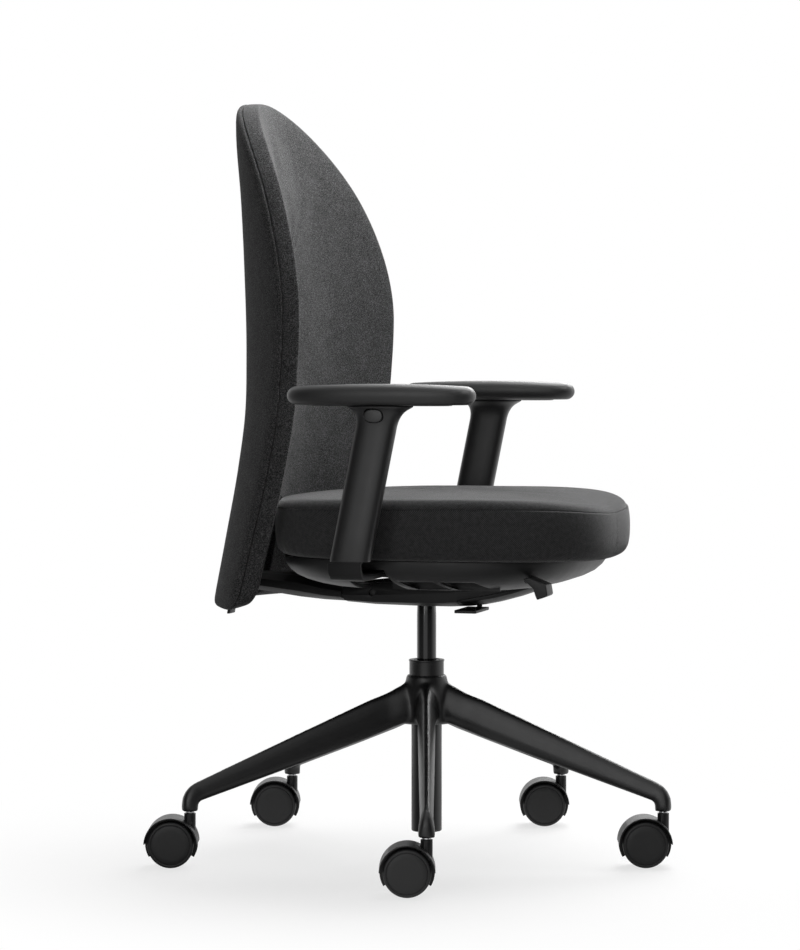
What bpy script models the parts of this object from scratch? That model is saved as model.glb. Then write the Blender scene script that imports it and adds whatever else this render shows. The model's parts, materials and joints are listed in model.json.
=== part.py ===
"""Office chair: arched upholstered back, padded seat, height-adjustable arms,
synchronised tilt, gas lift and five-arm base on twin-wheel castors.

Metres, +Z up. The chair faces +X and its left arm is on +Y.
"""
import math

import bmesh
import bpy
from mathutils import Matrix, Vector

# Where the column stands, so that the floor outline is centred on the origin
COLUMN_X = -0.0054
COLUMN_Y = 0.0107

# Clearances between pieces
SEAT_GAP = 0.0003
RUN_GAP = 0.0008
SIDE_GAP = 0.0015

# Star base: five cast arms that fall from the hub to the castor sleeves
ARM_COUNT = 5
BASE_TURN = math.radians(-73.8)
STEM_CIRCLE = 0.352
HUB_RADIUS = 0.0295
HUB_TOP = 0.260
HUB_BOTTOM = 0.187
ARM_ROOT_TOP = 0.2497
ARM_ROOT_HEIGHT = 0.0600
ARM_TIP_TOP = 0.1222
ARM_TIP_HEIGHT = 0.0290
ARM_ROOT_WIDTH = 0.034
ARM_TIP_WIDTH = 0.0235
ELBOW_RADIUS = 0.020
ARM_NARROWING = 0.55
ARM_FULLNESS = 2.6
ARM_SIDES = 14
ARM_STATIONS = ((-0.018, 0.0015, 0.0), (0.022, 0.004, 0.0), (0.10, 0.0, 0.0), (0.5, 0.0, 0.3),
                (1.0, 0.0, 1.0))
ELBOW_STEPS = (0.25, 0.5, 0.75, 1.0)
HUB_SHOULDER = 0.0035
SLEEVE_RADIUS = 0.0115
SLEEVE_BOTTOM = 0.078
SOCKET_DEPTH = 0.022

# Gas lift
TUBE_RADIUS = 0.0250
TUBE_LOW_RADIUS = 0.0220
TUBE_WALL = 0.002
TUBE_TOP = 0.282
TUBE_BOTTOM = 0.034
COLLAR_LIP = 0.0008
COLUMN_RADIUS = 0.014
COLUMN_BOTTOM = 0.118
COLUMN_TOP = 0.392
COLUMN_TAPER = 0.0015
TAPER_LENGTH = 0.045
COLUMN_BORE = 0.0060
ROD_RADIUS = 0.0050
ROD_TOP = 0.240
BUSH_LENGTH = 0.075
BEARING_HEIGHT = 0.010
FOOT_THICKNESS = 0.004

# Castors: hooded twin wheels that trail behind their stems
CASTOR_TURN = math.radians(196.2)
WHEEL_RADIUS = 0.0325
WHEEL_WIDTH = 0.0180
WHEEL_RIM = 0.0030
WHEEL_DISH = 0.0008
WEB_THICKNESS = 0.0090
CASTOR_TRAIL = 0.0260
HOOD_RADIUS = 0.0379
HOOD_WALL = 0.0026
HOOD_REST_ANGLE = math.radians(8)
BOSS_RADIUS = 0.0082
BOSS_TOP = 0.0749
STEM_RADIUS = 0.0050
STEM_PLUG_RADIUS = 0.0040
STEM_PLUG_DEPTH = 0.0130
AXLE_RADIUS = 0.0030

# Tilt mechanism
SEAT_PIVOT_X = 0.120
SEAT_PIVOT_Z = 0.403
BACK_PIVOT_X = -0.060
BACK_PIVOT_Z = 0.383
PIVOT_RADIUS = 0.005
ROOT_RADIUS = 0.045
HOUSING_HALF_WIDTH = 0.075
HOUSING_FRONT = 0.165
HOUSING_TOP = 0.4150
HOUSING_TOP_SLOPE = 0.108
PAN_LOW = 0.3612
PAN_FLAT_REAR = -0.040
PAN_FLAT_FRONT = 0.045
PAN_REAR_RISE = 0.075
PAN_FRONT_RISE = 1.6
NOSE_START = 0.075
NOSE_FRONT = 0.178
NOSE_DEPTH = 0.012
NOSE_LEAN = 0.010
NOSE_RISE = 0.22
HOUSING_NARROWING = 1.2
TOP_SHARE = 0.94
EYE_RADIUS = 0.013
TONGUE_HALF_WIDTH = 0.030
TONGUE_HALF_HEIGHT = 0.0065
TONGUE_ROOT = 0.020
SPRING_START = 0.029
SPRING_LENGTH = 0.042
SPRING_RADIUS = 0.0105
SPRING_WIRE = 0.0016
SPRING_TURNS = 6
SPRING_RISE = 0.0318
SPRING_HEIGHT = PAN_LOW + SPRING_RISE

# Back carrier: a faceted arm from the mechanism to the flat spine inside the back
CARRIER_ROOT = (0.072, 0.3685, 0.3900)
CARRIER_BENDS = ((-0.140, 0.060, 0.3690, 0.3930), (-0.180, 0.048, 0.3715, 0.4015),
                 (-0.235, 0.039, 0.3780, 0.4040))
CARRIER_TIP = (-0.280, 0.034, 0.3835, 0.4040)
CARRIER_SECTION = ((-0.72, -1), (0.72, -1), (1, -0.4), (1, 0.4), (0.72, 1), (-0.72, 1), (-1, 0.4), (-1, -0.4))
ROOT_GAP = 0.0022
SPINE_BELOW = 0.012
SPINE_TOP = 0.545
SPINE_FOOT = CARRIER_TIP[2] - SPINE_BELOW
SPINE_HALF_WIDTH = 0.030
SPINE_THICKNESS = 0.006
SPINE_ROOM = 0.0026

# Back: an arch in front view, wrapped round the sitter in plan
BACK_BOTTOM = 0.362
BACK_WAIST = 0.775
BACK_HALF_WIDTH = 0.2285
BACK_ARCH_HEIGHT = 0.3162
BACK_LOW_TAPER = 0.020
BACK_CORNER = 0.030
BACK_THICKNESS = 0.060
BACK_CROWN = 0.021
BACK_ROLL = 0.009
COVER_THICKNESS = 0.010
BACK_SHELL_WALL = 0.008
SHELL_SHARE = 0.955
BACK_WRAPS = ((0.362, 1.893), (0.50, 1.961), (0.64, 2.018), (0.78, 2.118), (0.95, 2.198), (1.09, 2.553))
BACK_PROFILE = ((0.362, -0.311), (0.46, -0.292), (0.56, -0.2735), (0.64, -0.263), (0.72, -0.2615),
                (0.83, -0.2645), (0.95, -0.271), (1.04, -0.2795), (1.092, -0.281))
BACK_TRAVEL_ROOM = 0.004
CUT_REACH = 0.150
GATE_ROOM = 0.010
GATE_TOP = CARRIER_TIP[3] + GATE_ROOM
LATCH_HALF_WIDTH = 0.012
LATCH_BOTTOM = 0.342
LATCH_TOP = 0.378
LATCH_THICKNESS = 0.0045

# Arms
ARM_Y = 0.293
PAD_Y = 0.285
ARM_LEAN = math.radians(11.5)
ARM_FOOT_X = -0.0234
ARM_FOOT_Z = 0.4415
STRAP_THICKNESS = 0.008
STRAP_START = 0.082
STRAP_BEND = 0.020
POST_HALF_WIDTH = 0.017
POST_HALF_THICKNESS = 0.006
POST_TOP = 0.604
SLEEVE_HALF_LENGTH = 0.0285
SLEEVE_HALF_THICKNESS = 0.015
NECK_FOOT = 0.626
FLANGE_TOP = 0.6535
FLANGE_HALF_LENGTH = 0.045
FLANGE_HALF_WIDTH = 0.026
BUTTON_X = 0.0150
BUTTON_Z = 0.6405
BUTTON_HALF_LENGTH = 0.0132
BUTTON_HALF_HEIGHT = 0.0092
ARM_PLATE_THICKNESS = 0.003
PAD_X = 0.018
PAD_HALF_LENGTH = 0.133
PAD_HALF_WIDTH = 0.0425
PAD_THICKNESS = 0.0262
PAD_DROOP = 0.004
PAD_SHAPE = ((0.80, 0.0), (0.94, 0.06), (0.985, 0.22), (1.0, 0.45), (0.985, 0.70), (0.93, 0.90),
             (0.80, 0.98), (0.50, 1.0))

# Seat
SEAT_FRONT = 0.285
SEAT_REAR = -0.200
SEAT_HALF_WIDTH = 0.245
SEAT_FULLNESS = 3.0
CUSHION_BOTTOM = 0.4382
CUSHION_SEAM = 0.5110
CUSHION_CROWN = 0.5340
BOARD_THICKNESS = 0.008
BOARD_INSET = 0.010
PLATE_THICKNESS = 0.008
PLATE_HALF_WIDTH = 0.120
PLATE_REAR = -0.130
PLATE_FRONT = 0.215
LUG_WIDTH = 0.008
SHELL_FRONT = 0.252
SHELL_REAR = -0.188
SHELL_HALF_WIDTH = 0.222
SHELL_WALL = 0.003
SHELL_BOTTOM = 0.392
SHELL_RIM_FOOT = 0.4255
MECHANISM_ROOM = 0.012

# Levers
LEVER_X = 0.200
LEVER_DROP = 0.0085
LEVER_RADIUS = 0.004
LEVER_START = 0.050
LEVER_END = 0.205
PADDLE_WIDTH = 0.034
LOCK_X = 0.085
LOCK_BEHIND = 0.021
LOCK_Y = -0.020
LOCK_DROP = 0.0005
LOCK_LENGTH = 0.032
LOCK_REACH = 0.080
LOCK_THICKNESS = 0.0045
LOCK_PIN_LENGTH = 0.0095

ROUND_STEPS = 24

for old in list(bpy.data.objects):
    bpy.data.objects.remove(old)


def collection(name):
    made = bpy.data.collections.new(name)
    bpy.context.scene.collection.children.link(made)
    return made


PARTS = collection("office_chair")
CUTTERS = collection("cutters")


def material(name, colour, roughness, metallic=0.0):
    made = bpy.data.materials.new(name)
    made.use_nodes = True
    shader = made.node_tree.nodes["Principled BSDF"]
    shader.inputs["Base Color"].default_value = (*colour, 1.0)
    shader.inputs["Roughness"].default_value = roughness
    shader.inputs["Metallic"].default_value = metallic
    made.diffuse_color = (*colour, 1.0)
    return made


BACK_FABRIC = material("back_fabric", (0.050, 0.050, 0.051), 0.95)
SEAT_FABRIC = material("seat_fabric", (0.035, 0.035, 0.036), 0.92)
BLACK_PLASTIC = material("black_plastic", (0.022, 0.022, 0.023), 0.45)
PAD_FOAM = material("pad_foam", (0.028, 0.028, 0.029), 0.55)
POWDER_COAT = material("powder_coat", (0.018, 0.018, 0.019), 0.35)
BLACK_STEEL = material("black_steel", (0.020, 0.020, 0.021), 0.22, 0.6)
BARE_STEEL = material("bare_steel", (0.55, 0.55, 0.56), 0.30, 1.0)
BOARD_PLASTIC = material("board_plastic", (0.08, 0.08, 0.08), 0.60)


def empty(name, at, turn=0.0, parent=None):
    made = bpy.data.objects.new(name, None)
    made.location = at
    made.rotation_euler = (0.0, 0.0, turn)
    made.parent = parent
    PARTS.objects.link(made)
    return made


CHAIR = empty("chair", (COLUMN_X, COLUMN_Y, 0.0))


def ride(piece, carrier):
    """Parent a piece that is drawn in column coordinates to an empty on its joint's axis."""
    piece.parent = carrier
    if carrier is not CHAIR:
        piece.matrix_parent_inverse = carrier.matrix_basis.inverted()
    return piece


def node(name, mesh, finish, carrier):
    mesh.materials.clear()
    mesh.materials.append(finish)
    made = bpy.data.objects.new(name, mesh)
    PARTS.objects.link(made)
    return ride(made, carrier) if carrier else made


def evaluated(source, name):
    """The mesh of an object with its modifiers, caps welded, and the object removed."""
    bpy.context.view_layer.update()
    graph = bpy.context.evaluated_depsgraph_get()
    mesh = bpy.data.meshes.new_from_object(source.evaluated_get(graph))
    mesh.name = name
    bpy.data.objects.remove(source)
    work = bmesh.new()
    work.from_mesh(mesh)
    bmesh.ops.remove_doubles(work, verts=work.verts, dist=0.00001)
    bmesh.ops.recalc_face_normals(work, faces=work.faces)
    work.to_mesh(mesh)
    work.free()
    return mesh


def loose(name, mesh):
    made = bpy.data.objects.new(name, mesh)
    CUTTERS.objects.link(made)
    made.hide_render = True
    made.display_type = "WIRE"
    return made


def mesh_from(work, name):
    mesh = bpy.data.meshes.new(name)
    bmesh.ops.recalc_face_normals(work, faces=work.faces)
    work.to_mesh(mesh)
    work.free()
    return mesh


def box_mesh(name, low, high):
    work = bmesh.new()
    middle = (Vector(low) + Vector(high)) / 2
    size = Vector(high) - Vector(low)
    bmesh.ops.create_cube(work, size=1.0, matrix=Matrix.Translation(middle) @ Matrix.Diagonal((*size, 1.0)))
    return mesh_from(work, name)


def rod_mesh(name, start, end, radius, sides=ROUND_STEPS):
    """A round rod between two points."""
    work = bmesh.new()
    axis = Vector(end) - Vector(start)
    turn = axis.to_track_quat("Z", "Y").to_matrix().to_4x4()
    place = Matrix.Translation((Vector(start) + Vector(end)) / 2) @ turn
    bmesh.ops.create_cone(work, cap_ends=True, segments=sides, radius1=radius, radius2=radius,
                          depth=axis.length, matrix=place)
    return mesh_from(work, name)


def turned_mesh(name, profile, steps=ROUND_STEPS, closed=False):
    """A profile of (radius, height) spun round the Z axis."""
    mesh = bpy.data.meshes.new(name)
    work = bmesh.new()
    points = [work.verts.new((radius, 0.0, height)) for radius, height in profile]
    for first, second in zip(points, points[1:]):
        work.edges.new((first, second))
    if closed:
        work.edges.new((points[-1], points[0]))
    work.to_mesh(mesh)
    work.free()
    source = bpy.data.objects.new(name, mesh)
    CUTTERS.objects.link(source)
    spin = source.modifiers.new("spin", "SCREW")
    spin.steps = steps
    spin.render_steps = steps
    spin.use_merge_vertices = True
    spin.merge_threshold = 0.00001
    return evaluated(source, name)


def prism_mesh(name, outline, low, high):
    """A flat outline in the XZ plane, extruded along Y from low to high."""
    drawing = bpy.data.curves.new(name, "CURVE")
    drawing.dimensions = "2D"
    drawing.fill_mode = "BOTH"
    drawing.extrude = (high - low) / 2
    line = drawing.splines.new("POLY")
    line.points.add(len(outline) - 1)
    for point, (x, z) in zip(line.points, outline):
        point.co = (x, z, 0.0, 1.0)
    line.use_cyclic_u = True
    source = bpy.data.objects.new(name, drawing)
    CUTTERS.objects.link(source)
    mesh = evaluated(source, name)
    mesh.transform(Matrix.Translation((0.0, (low + high) / 2, 0.0)) @ Matrix.Rotation(math.pi / 2, 4, "X"))
    return mesh


def loft_mesh(name, rings):
    """A skin over closed rings of points, capped at both ends."""
    work = bmesh.new()
    loops = [[work.verts.new(point) for point in ring] for ring in rings]
    for lower, upper in zip(loops, loops[1:]):
        for index in range(len(lower)):
            after = (index + 1) % len(lower)
            work.faces.new((lower[index], lower[after], upper[after], upper[index]))
    caps = [work.faces.new(loops[0]), work.faces.new(loops[-1])]
    bmesh.ops.triangulate(work, faces=caps)
    return mesh_from(work, name)


def combine(target, mesh, operation, carrier=None):
    """Cut, join or trim an object with a mesh drawn in the same coordinates."""
    tool = loose(f"{target.name}_{operation.lower()}_{len(target.modifiers)}", mesh)
    if carrier:
        ride(tool, carrier)
    step = target.modifiers.new(operation.lower(), "BOOLEAN")
    step.operation = operation
    step.object = tool
    step.solver = "EXACT"


def smooth(piece, angle=35.0):
    piece.data.shade_smooth()
    piece.data.set_sharp_from_angle(angle=math.radians(angle))
    return piece


def oval(half_width, half_height, fullness, count):
    """Points of a superellipse, from its +width end round to its +height side."""
    points = []
    for step in range(count):
        angle = 2 * math.pi * (step + 0.5) / count
        across, up = math.cos(angle), math.sin(angle)
        points.append((half_width * math.copysign(abs(across) ** (2 / fullness), across),
                       half_height * math.copysign(abs(up) ** (2 / fullness), up)))
    return points


# Star base

def arm_section(radius, turn, half_width, half_height, centre_height, narrowing):
    """A rounded section of an arm, narrower at its top, tipped by turn about the level axis."""
    ring = []
    for across, up in oval(half_width, half_height, ARM_FULLNESS, ARM_SIDES):
        across *= 1 - narrowing * (0.5 + 0.5 * up / half_height)
        ring.append((radius + up * math.sin(turn), across, centre_height + up * math.cos(turn)))
    return ring


def base_arm_mesh():
    """One arm along +X: a straight taper that falls to an elbow, and the upright sleeve."""
    root_z = ARM_ROOT_TOP - ARM_ROOT_HEIGHT / 2
    tip_z = ARM_TIP_TOP - ARM_TIP_HEIGHT / 2
    fall = math.atan2(root_z - tip_z, STEM_CIRCLE - ELBOW_RADIUS - HUB_RADIUS)
    run = STEM_CIRCLE - ELBOW_RADIUS * (1 - math.sin(fall)) - HUB_RADIUS
    rings = []
    for share, flare, tip in ARM_STATIONS:
        height = ARM_ROOT_HEIGHT + (ARM_TIP_HEIGHT - ARM_ROOT_HEIGHT) * share
        width = ARM_ROOT_WIDTH + (ARM_TIP_WIDTH - ARM_ROOT_WIDTH) * share
        centre = root_z - math.tan(fall) * run * max(share, 0.0) + flare * 0.4
        rings.append(arm_section(HUB_RADIUS + share * run, tip * fall, width / 2 + flare,
                                 height / 2 * math.cos(tip * fall), centre, ARM_NARROWING))
    elbow_z = root_z - math.tan(fall) * run
    for blend in ELBOW_STEPS:
        turn = fall + (math.pi / 2 - fall) * blend
        tall = ARM_TIP_HEIGHT / 2 * math.cos(fall)
        rings.append(arm_section(
            HUB_RADIUS + run + ELBOW_RADIUS * (math.sin(turn) - math.sin(fall)), turn,
            ARM_TIP_WIDTH / 2 + (SLEEVE_RADIUS - ARM_TIP_WIDTH / 2) * blend,
            tall + (SLEEVE_RADIUS - tall) * blend,
            elbow_z - ELBOW_RADIUS * (math.cos(fall) - math.cos(turn)), ARM_NARROWING * (1 - blend)))
    rings.append(arm_section(STEM_CIRCLE, math.pi / 2, SLEEVE_RADIUS, SLEEVE_RADIUS, SLEEVE_BOTTOM, 0.0))
    return loft_mesh("base_arm", rings)


def tube_outline(extra):
    """Outer radii of the lift tube down its length: collar, taper in the hub, slim lower end."""
    return [(TUBE_RADIUS + extra, HUB_TOP), (TUBE_LOW_RADIUS + extra, HUB_BOTTOM)]


def star_base():
    shoulder = HUB_RADIUS + HUB_SHOULDER
    hub = turned_mesh("star_base", [
        (0.0, HUB_TOP), (HUB_RADIUS - 0.002, HUB_TOP), (HUB_RADIUS, HUB_TOP - 0.003),
        (shoulder, HUB_TOP - 0.022), (shoulder, HUB_BOTTOM + 0.006),
        (shoulder - 0.005, HUB_BOTTOM), (0.0, HUB_BOTTOM)])
    base = node("star_base", hub, POWDER_COAT, CHAIR)
    sockets = []
    for index in range(ARM_COUNT):
        spin = Matrix.Rotation(BASE_TURN + 2 * math.pi * index / ARM_COUNT, 4, "Z")
        arm = base_arm_mesh()
        arm.transform(spin)
        combine(base, arm, "UNION", CHAIR)
        socket = rod_mesh("socket", (STEM_CIRCLE, 0.0, SLEEVE_BOTTOM - SOCKET_DEPTH),
                          (STEM_CIRCLE, 0.0, SLEEVE_BOTTOM + SOCKET_DEPTH), STEM_RADIUS + RUN_GAP, 12)
        socket.transform(spin)
        sockets.append(socket)
    for socket in sockets:
        combine(base, socket, "DIFFERENCE", CHAIR)
    (top_radius, top), (low_radius, low) = tube_outline(SEAT_GAP)
    fall = (top_radius - low_radius) / (top - low)
    over = 0.01
    bore = turned_mesh("hub_bore", [
        (0.0, top + over), (top_radius + fall * over, top + over),
        (low_radius - fall * over, low - over), (0.0, low - over)])
    combine(base, bore, "DIFFERENCE", CHAIR)
    return smooth(base)


# Gas lift

SWIVEL = empty("swivel_axis", (0.0, 0.0, TUBE_BOTTOM), parent=CHAIR)
LIFT = empty("lift_axis", (0.0, 0.0, COLUMN_TOP), parent=CHAIR)


def gas_lift():
    inner = TUBE_LOW_RADIUS - TUBE_WALL
    floor = TUBE_BOTTOM + FOOT_THICKNESS
    tube = turned_mesh("column_tube", [
        (0.0, floor), (inner, floor), (inner, TUBE_TOP), (TUBE_RADIUS + COLLAR_LIP, TUBE_TOP),
        (TUBE_RADIUS + COLLAR_LIP, TUBE_TOP - 0.002), (TUBE_RADIUS, TUBE_TOP - 0.003),
        *tube_outline(0.0), (TUBE_LOW_RADIUS, TUBE_BOTTOM + 0.001),
        (TUBE_LOW_RADIUS - 0.001, TUBE_BOTTOM), (0.0, TUBE_BOTTOM)])
    smooth(node("column_tube", tube, BLACK_STEEL, CHAIR))
    bush_top = TUBE_TOP - 0.001
    bush_bore = COLUMN_RADIUS + RUN_GAP
    bush = turned_mesh("guide_bush", [
        (bush_bore, bush_top), (inner - SEAT_GAP, bush_top), (inner - SEAT_GAP, bush_top - BUSH_LENGTH),
        (bush_bore, bush_top - BUSH_LENGTH)], closed=True)
    smooth(node("guide_bush", bush, BLACK_PLASTIC, CHAIR))
    race = floor + SEAT_GAP
    race_top = race + BEARING_HEIGHT
    bearing = turned_mesh("thrust_bearing", [
        (ROD_RADIUS + RUN_GAP, race_top), (inner - RUN_GAP, race_top), (inner - RUN_GAP, race),
        (ROD_RADIUS + RUN_GAP, race)], closed=True)
    smooth(node("thrust_bearing", bearing, BARE_STEEL, CHAIR))
    flange = race_top + SEAT_GAP
    rod = turned_mesh("piston_rod", [
        (0.0, ROD_TOP), (ROD_RADIUS, ROD_TOP), (ROD_RADIUS, flange + 0.004), (2 * ROD_RADIUS, flange + 0.004),
        (2 * ROD_RADIUS, flange), (ROD_RADIUS, flange), (ROD_RADIUS, race), (0.0, race)], 16)
    smooth(node("piston_rod", rod, BARE_STEEL, SWIVEL))
    taper_foot = COLUMN_TOP - TAPER_LENGTH
    bore_end = taper_foot - 0.010
    column = turned_mesh("lift_column", [
        (0.0, COLUMN_TOP), (COLUMN_RADIUS - COLUMN_TAPER, COLUMN_TOP), (COLUMN_RADIUS, taper_foot),
        (COLUMN_RADIUS, COLUMN_BOTTOM), (COLUMN_BORE, COLUMN_BOTTOM), (COLUMN_BORE, bore_end),
        (0.0, bore_end)])
    smooth(node("lift_column", column, BLACK_STEEL, LIFT))


# Castors, drawn with the stem on the Z axis and the wheels trailing on +X

def arc(centre, radius, start, end, count):
    """Points of an arc in the XZ plane."""
    points = []
    for step in range(count + 1):
        angle = start + (end - start) * step / count
        points.append((centre[0] + radius * math.cos(angle), centre[1] + radius * math.sin(angle)))
    return points


WHEEL_CENTRE = (CASTOR_TRAIL, WHEEL_RADIUS)
WHEEL_INNER = WEB_THICKNESS / 2 + SIDE_GAP
HOOD_HALF_WIDTH = WHEEL_INNER + WHEEL_WIDTH + 0.0005


def hood_mesh():
    """Arched mudguard, its middle web and the boss for the stem, with stem and axle holes."""
    inner = HOOD_RADIUS - HOOD_WALL
    low, high = HOOD_REST_ANGLE, math.pi - HOOD_REST_ANGLE
    outline = arc(WHEEL_CENTRE, HOOD_RADIUS, low, high, 14) + arc(WHEEL_CENTRE, inner, high, low, 14)
    hood = loose("castor_hood_form", prism_mesh("hood_arch", outline, -HOOD_HALF_WIDTH, HOOD_HALF_WIDTH))
    boss_foot = (0.0, 0.0, WHEEL_RADIUS + 0.4 * HOOD_RADIUS)
    boss = loose("boss_form", rod_mesh("boss", (0.0, 0.0, BOSS_TOP), boss_foot, BOSS_RADIUS, 14))
    wheel_room = rod_mesh("wheel_room", (CASTOR_TRAIL, -HOOD_RADIUS, WHEEL_RADIUS),
                          (CASTOR_TRAIL, HOOD_RADIUS, WHEEL_RADIUS), inner + HOOD_WALL / 2, 40)
    combine(boss, wheel_room, "DIFFERENCE")
    combine(hood, evaluated(boss, "boss"), "UNION")
    hub_radius = 3 * AXLE_RADIUS
    web = arc(WHEEL_CENTRE, inner + HOOD_WALL / 2, 0.35, math.pi - 0.35, 10)
    web += arc(WHEEL_CENTRE, hub_radius, math.pi, 2 * math.pi, 6)
    combine(hood, prism_mesh("web", web, -WEB_THICKNESS / 2, WEB_THICKNESS / 2), "UNION")
    plug = rod_mesh("plug", (0.0, 0.0, BOSS_TOP - STEM_PLUG_DEPTH - SEAT_GAP), (0.0, 0.0, BOSS_TOP + 0.01),
                    STEM_PLUG_RADIUS + SEAT_GAP, 12)
    combine(hood, plug, "DIFFERENCE")
    axle = rod_mesh("axle_hole", (CASTOR_TRAIL, -WEB_THICKNESS, WHEEL_RADIUS),
                    (CASTOR_TRAIL, WEB_THICKNESS, WHEEL_RADIUS), AXLE_RADIUS + SEAT_GAP, 12)
    combine(hood, axle, "DIFFERENCE")
    return evaluated(hood, "castor_hood")


def wheel_mesh(side):
    """A wheel with a sunk face, a rounded tread edge and a blind axle hole."""
    steps = 20
    tread = WHEEL_RADIUS / math.cos(math.pi / steps)
    bore = AXLE_RADIUS + RUN_GAP
    bore_end = WHEEL_WIDTH - 0.005
    wheel = turned_mesh("castor_wheel", [
        (0.0, WHEEL_WIDTH - WHEEL_DISH), (tread - 2.2 * WHEEL_RIM, WHEEL_WIDTH - WHEEL_DISH),
        (tread - 2 * WHEEL_RIM, WHEEL_WIDTH), (tread - WHEEL_RIM, WHEEL_WIDTH),
        (tread, WHEEL_WIDTH - WHEEL_RIM), (tread, 0.0), (bore, 0.0), (bore, bore_end),
        (0.0, bore_end)], steps)
    half_step = Matrix.Rotation(math.pi / steps, 4, "Z")
    lay = Matrix.Rotation(-side * math.pi / 2, 4, "X")
    wheel.transform(Matrix.Translation((CASTOR_TRAIL, side * WHEEL_INNER, WHEEL_RADIUS)) @ lay @ half_step)
    return wheel


def castors():
    plug_foot = BOSS_TOP - STEM_PLUG_DEPTH
    collar = STEM_RADIUS + 0.0012
    stem = turned_mesh("castor_stem", [
        (0.0, SLEEVE_BOTTOM + SOCKET_DEPTH - 0.002), (STEM_RADIUS, SLEEVE_BOTTOM + SOCKET_DEPTH - 0.003),
        (STEM_RADIUS, SLEEVE_BOTTOM - SEAT_GAP), (collar, SLEEVE_BOTTOM - SEAT_GAP),
        (collar, BOSS_TOP + SEAT_GAP), (STEM_PLUG_RADIUS, BOSS_TOP + SEAT_GAP), (STEM_PLUG_RADIUS, plug_foot),
        (0.0, plug_foot)], 12)
    hood = hood_mesh()
    reach = WHEEL_INNER + WHEEL_WIDTH - 0.006
    axle = rod_mesh("castor_axle", (CASTOR_TRAIL, -reach, WHEEL_RADIUS), (CASTOR_TRAIL, reach, WHEEL_RADIUS),
                    AXLE_RADIUS, 12)
    wheels = {"left": wheel_mesh(1), "right": wheel_mesh(-1)}
    for index in range(ARM_COUNT):
        angle = BASE_TURN + 2 * math.pi * index / ARM_COUNT
        at = (STEM_CIRCLE * math.cos(angle), STEM_CIRCLE * math.sin(angle), 0.0)
        stand = empty(f"castor_axis_{index + 1}", at, CASTOR_TURN, CHAIR)
        pieces = {"stem": (stem, BARE_STEEL), "hood": (hood, BLACK_PLASTIC), "axle": (axle, BARE_STEEL)}
        for name, (mesh, finish) in pieces.items():
            smooth(node(f"castor_{name}_{index + 1}", mesh, finish, None)).parent = stand
        hub = empty(f"castor_hub_{index + 1}", (CASTOR_TRAIL, 0.0, WHEEL_RADIUS), parent=stand)
        for name, mesh in wheels.items():
            wheel = node(f"castor_wheel_{index + 1}_{name}", mesh, BLACK_PLASTIC, None)
            wheel.parent = hub
            wheel.matrix_parent_inverse = hub.matrix_basis.inverted()
            smooth(wheel)


star_base()
gas_lift()
castors()


# Tilt mechanism

SEAT_TILT = empty("seat_tilt_axis", (SEAT_PIVOT_X, 0.0, SEAT_PIVOT_Z), parent=CHAIR)
BACK_TILT = empty("back_tilt_axis", (BACK_PIVOT_X, 0.0, BACK_PIVOT_Z), parent=CHAIR)


def pan_bottom(x):
    """Height of the belly of the mechanism: flat under the column, rising to both ends."""
    behind = max(PAN_FLAT_REAR - x, 0.0)
    ahead = max(x - PAN_FLAT_FRONT, 0.0)
    return PAN_LOW + PAN_REAR_RISE * behind + PAN_FRONT_RISE * ahead ** 2


def housing_top(x):
    return HOUSING_TOP - HOUSING_TOP_SLOPE * (SEAT_PIVOT_X - x)


def pan_curve(x, half_width):
    """The rounded belly across the mechanism, from its right side to its left."""
    rise = 0.5 * (housing_top(x) - pan_bottom(x))
    curve = []
    for step in range(9):
        across = -math.cos(math.pi * step / 8)
        up = 1 - (1 - abs(across) ** 3.2) ** (1 / 3.2)
        curve.append((x, half_width * across, pan_bottom(x) + rise * up))
    return curve


def housing_width(x):
    past = max(x - SEAT_PIVOT_X - 0.015, 0.0)
    return HOUSING_HALF_WIDTH - HOUSING_NARROWING * past ** 2 / HOUSING_HALF_WIDTH


def housing_ring(x):
    width = housing_width(x)
    top = housing_top(x)
    belly = pan_curve(x, width)
    return belly + [(x, width * TOP_SHARE, top), (x, 0.0, top), (x, -width * TOP_SHARE, top)]


def onto_root(ring, radius):
    """Move a ring's points back onto the round face about the back pivot."""
    moved = []
    for _, y, z in ring:
        up = z - BACK_PIVOT_Z
        moved.append((BACK_PIVOT_X - math.sqrt(radius ** 2 - up ** 2), y, z))
    return moved


NOSE_STATIONS = (NOSE_START, NOSE_START + 0.022, SEAT_PIVOT_X, SEAT_PIVOT_X + 0.025, HOUSING_FRONT)


def parting_line(shift):
    """The line between housing and nose: a slanted rear end, then a rising top."""
    over = 0.03
    rear = NOSE_START + shift
    top = PAN_LOW + NOSE_DEPTH - shift
    return [(rear, PAN_LOW - over), (rear - NOSE_LEAN, top),
            (NOSE_FRONT + over, top + NOSE_RISE * (NOSE_FRONT + over - rear))]


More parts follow.
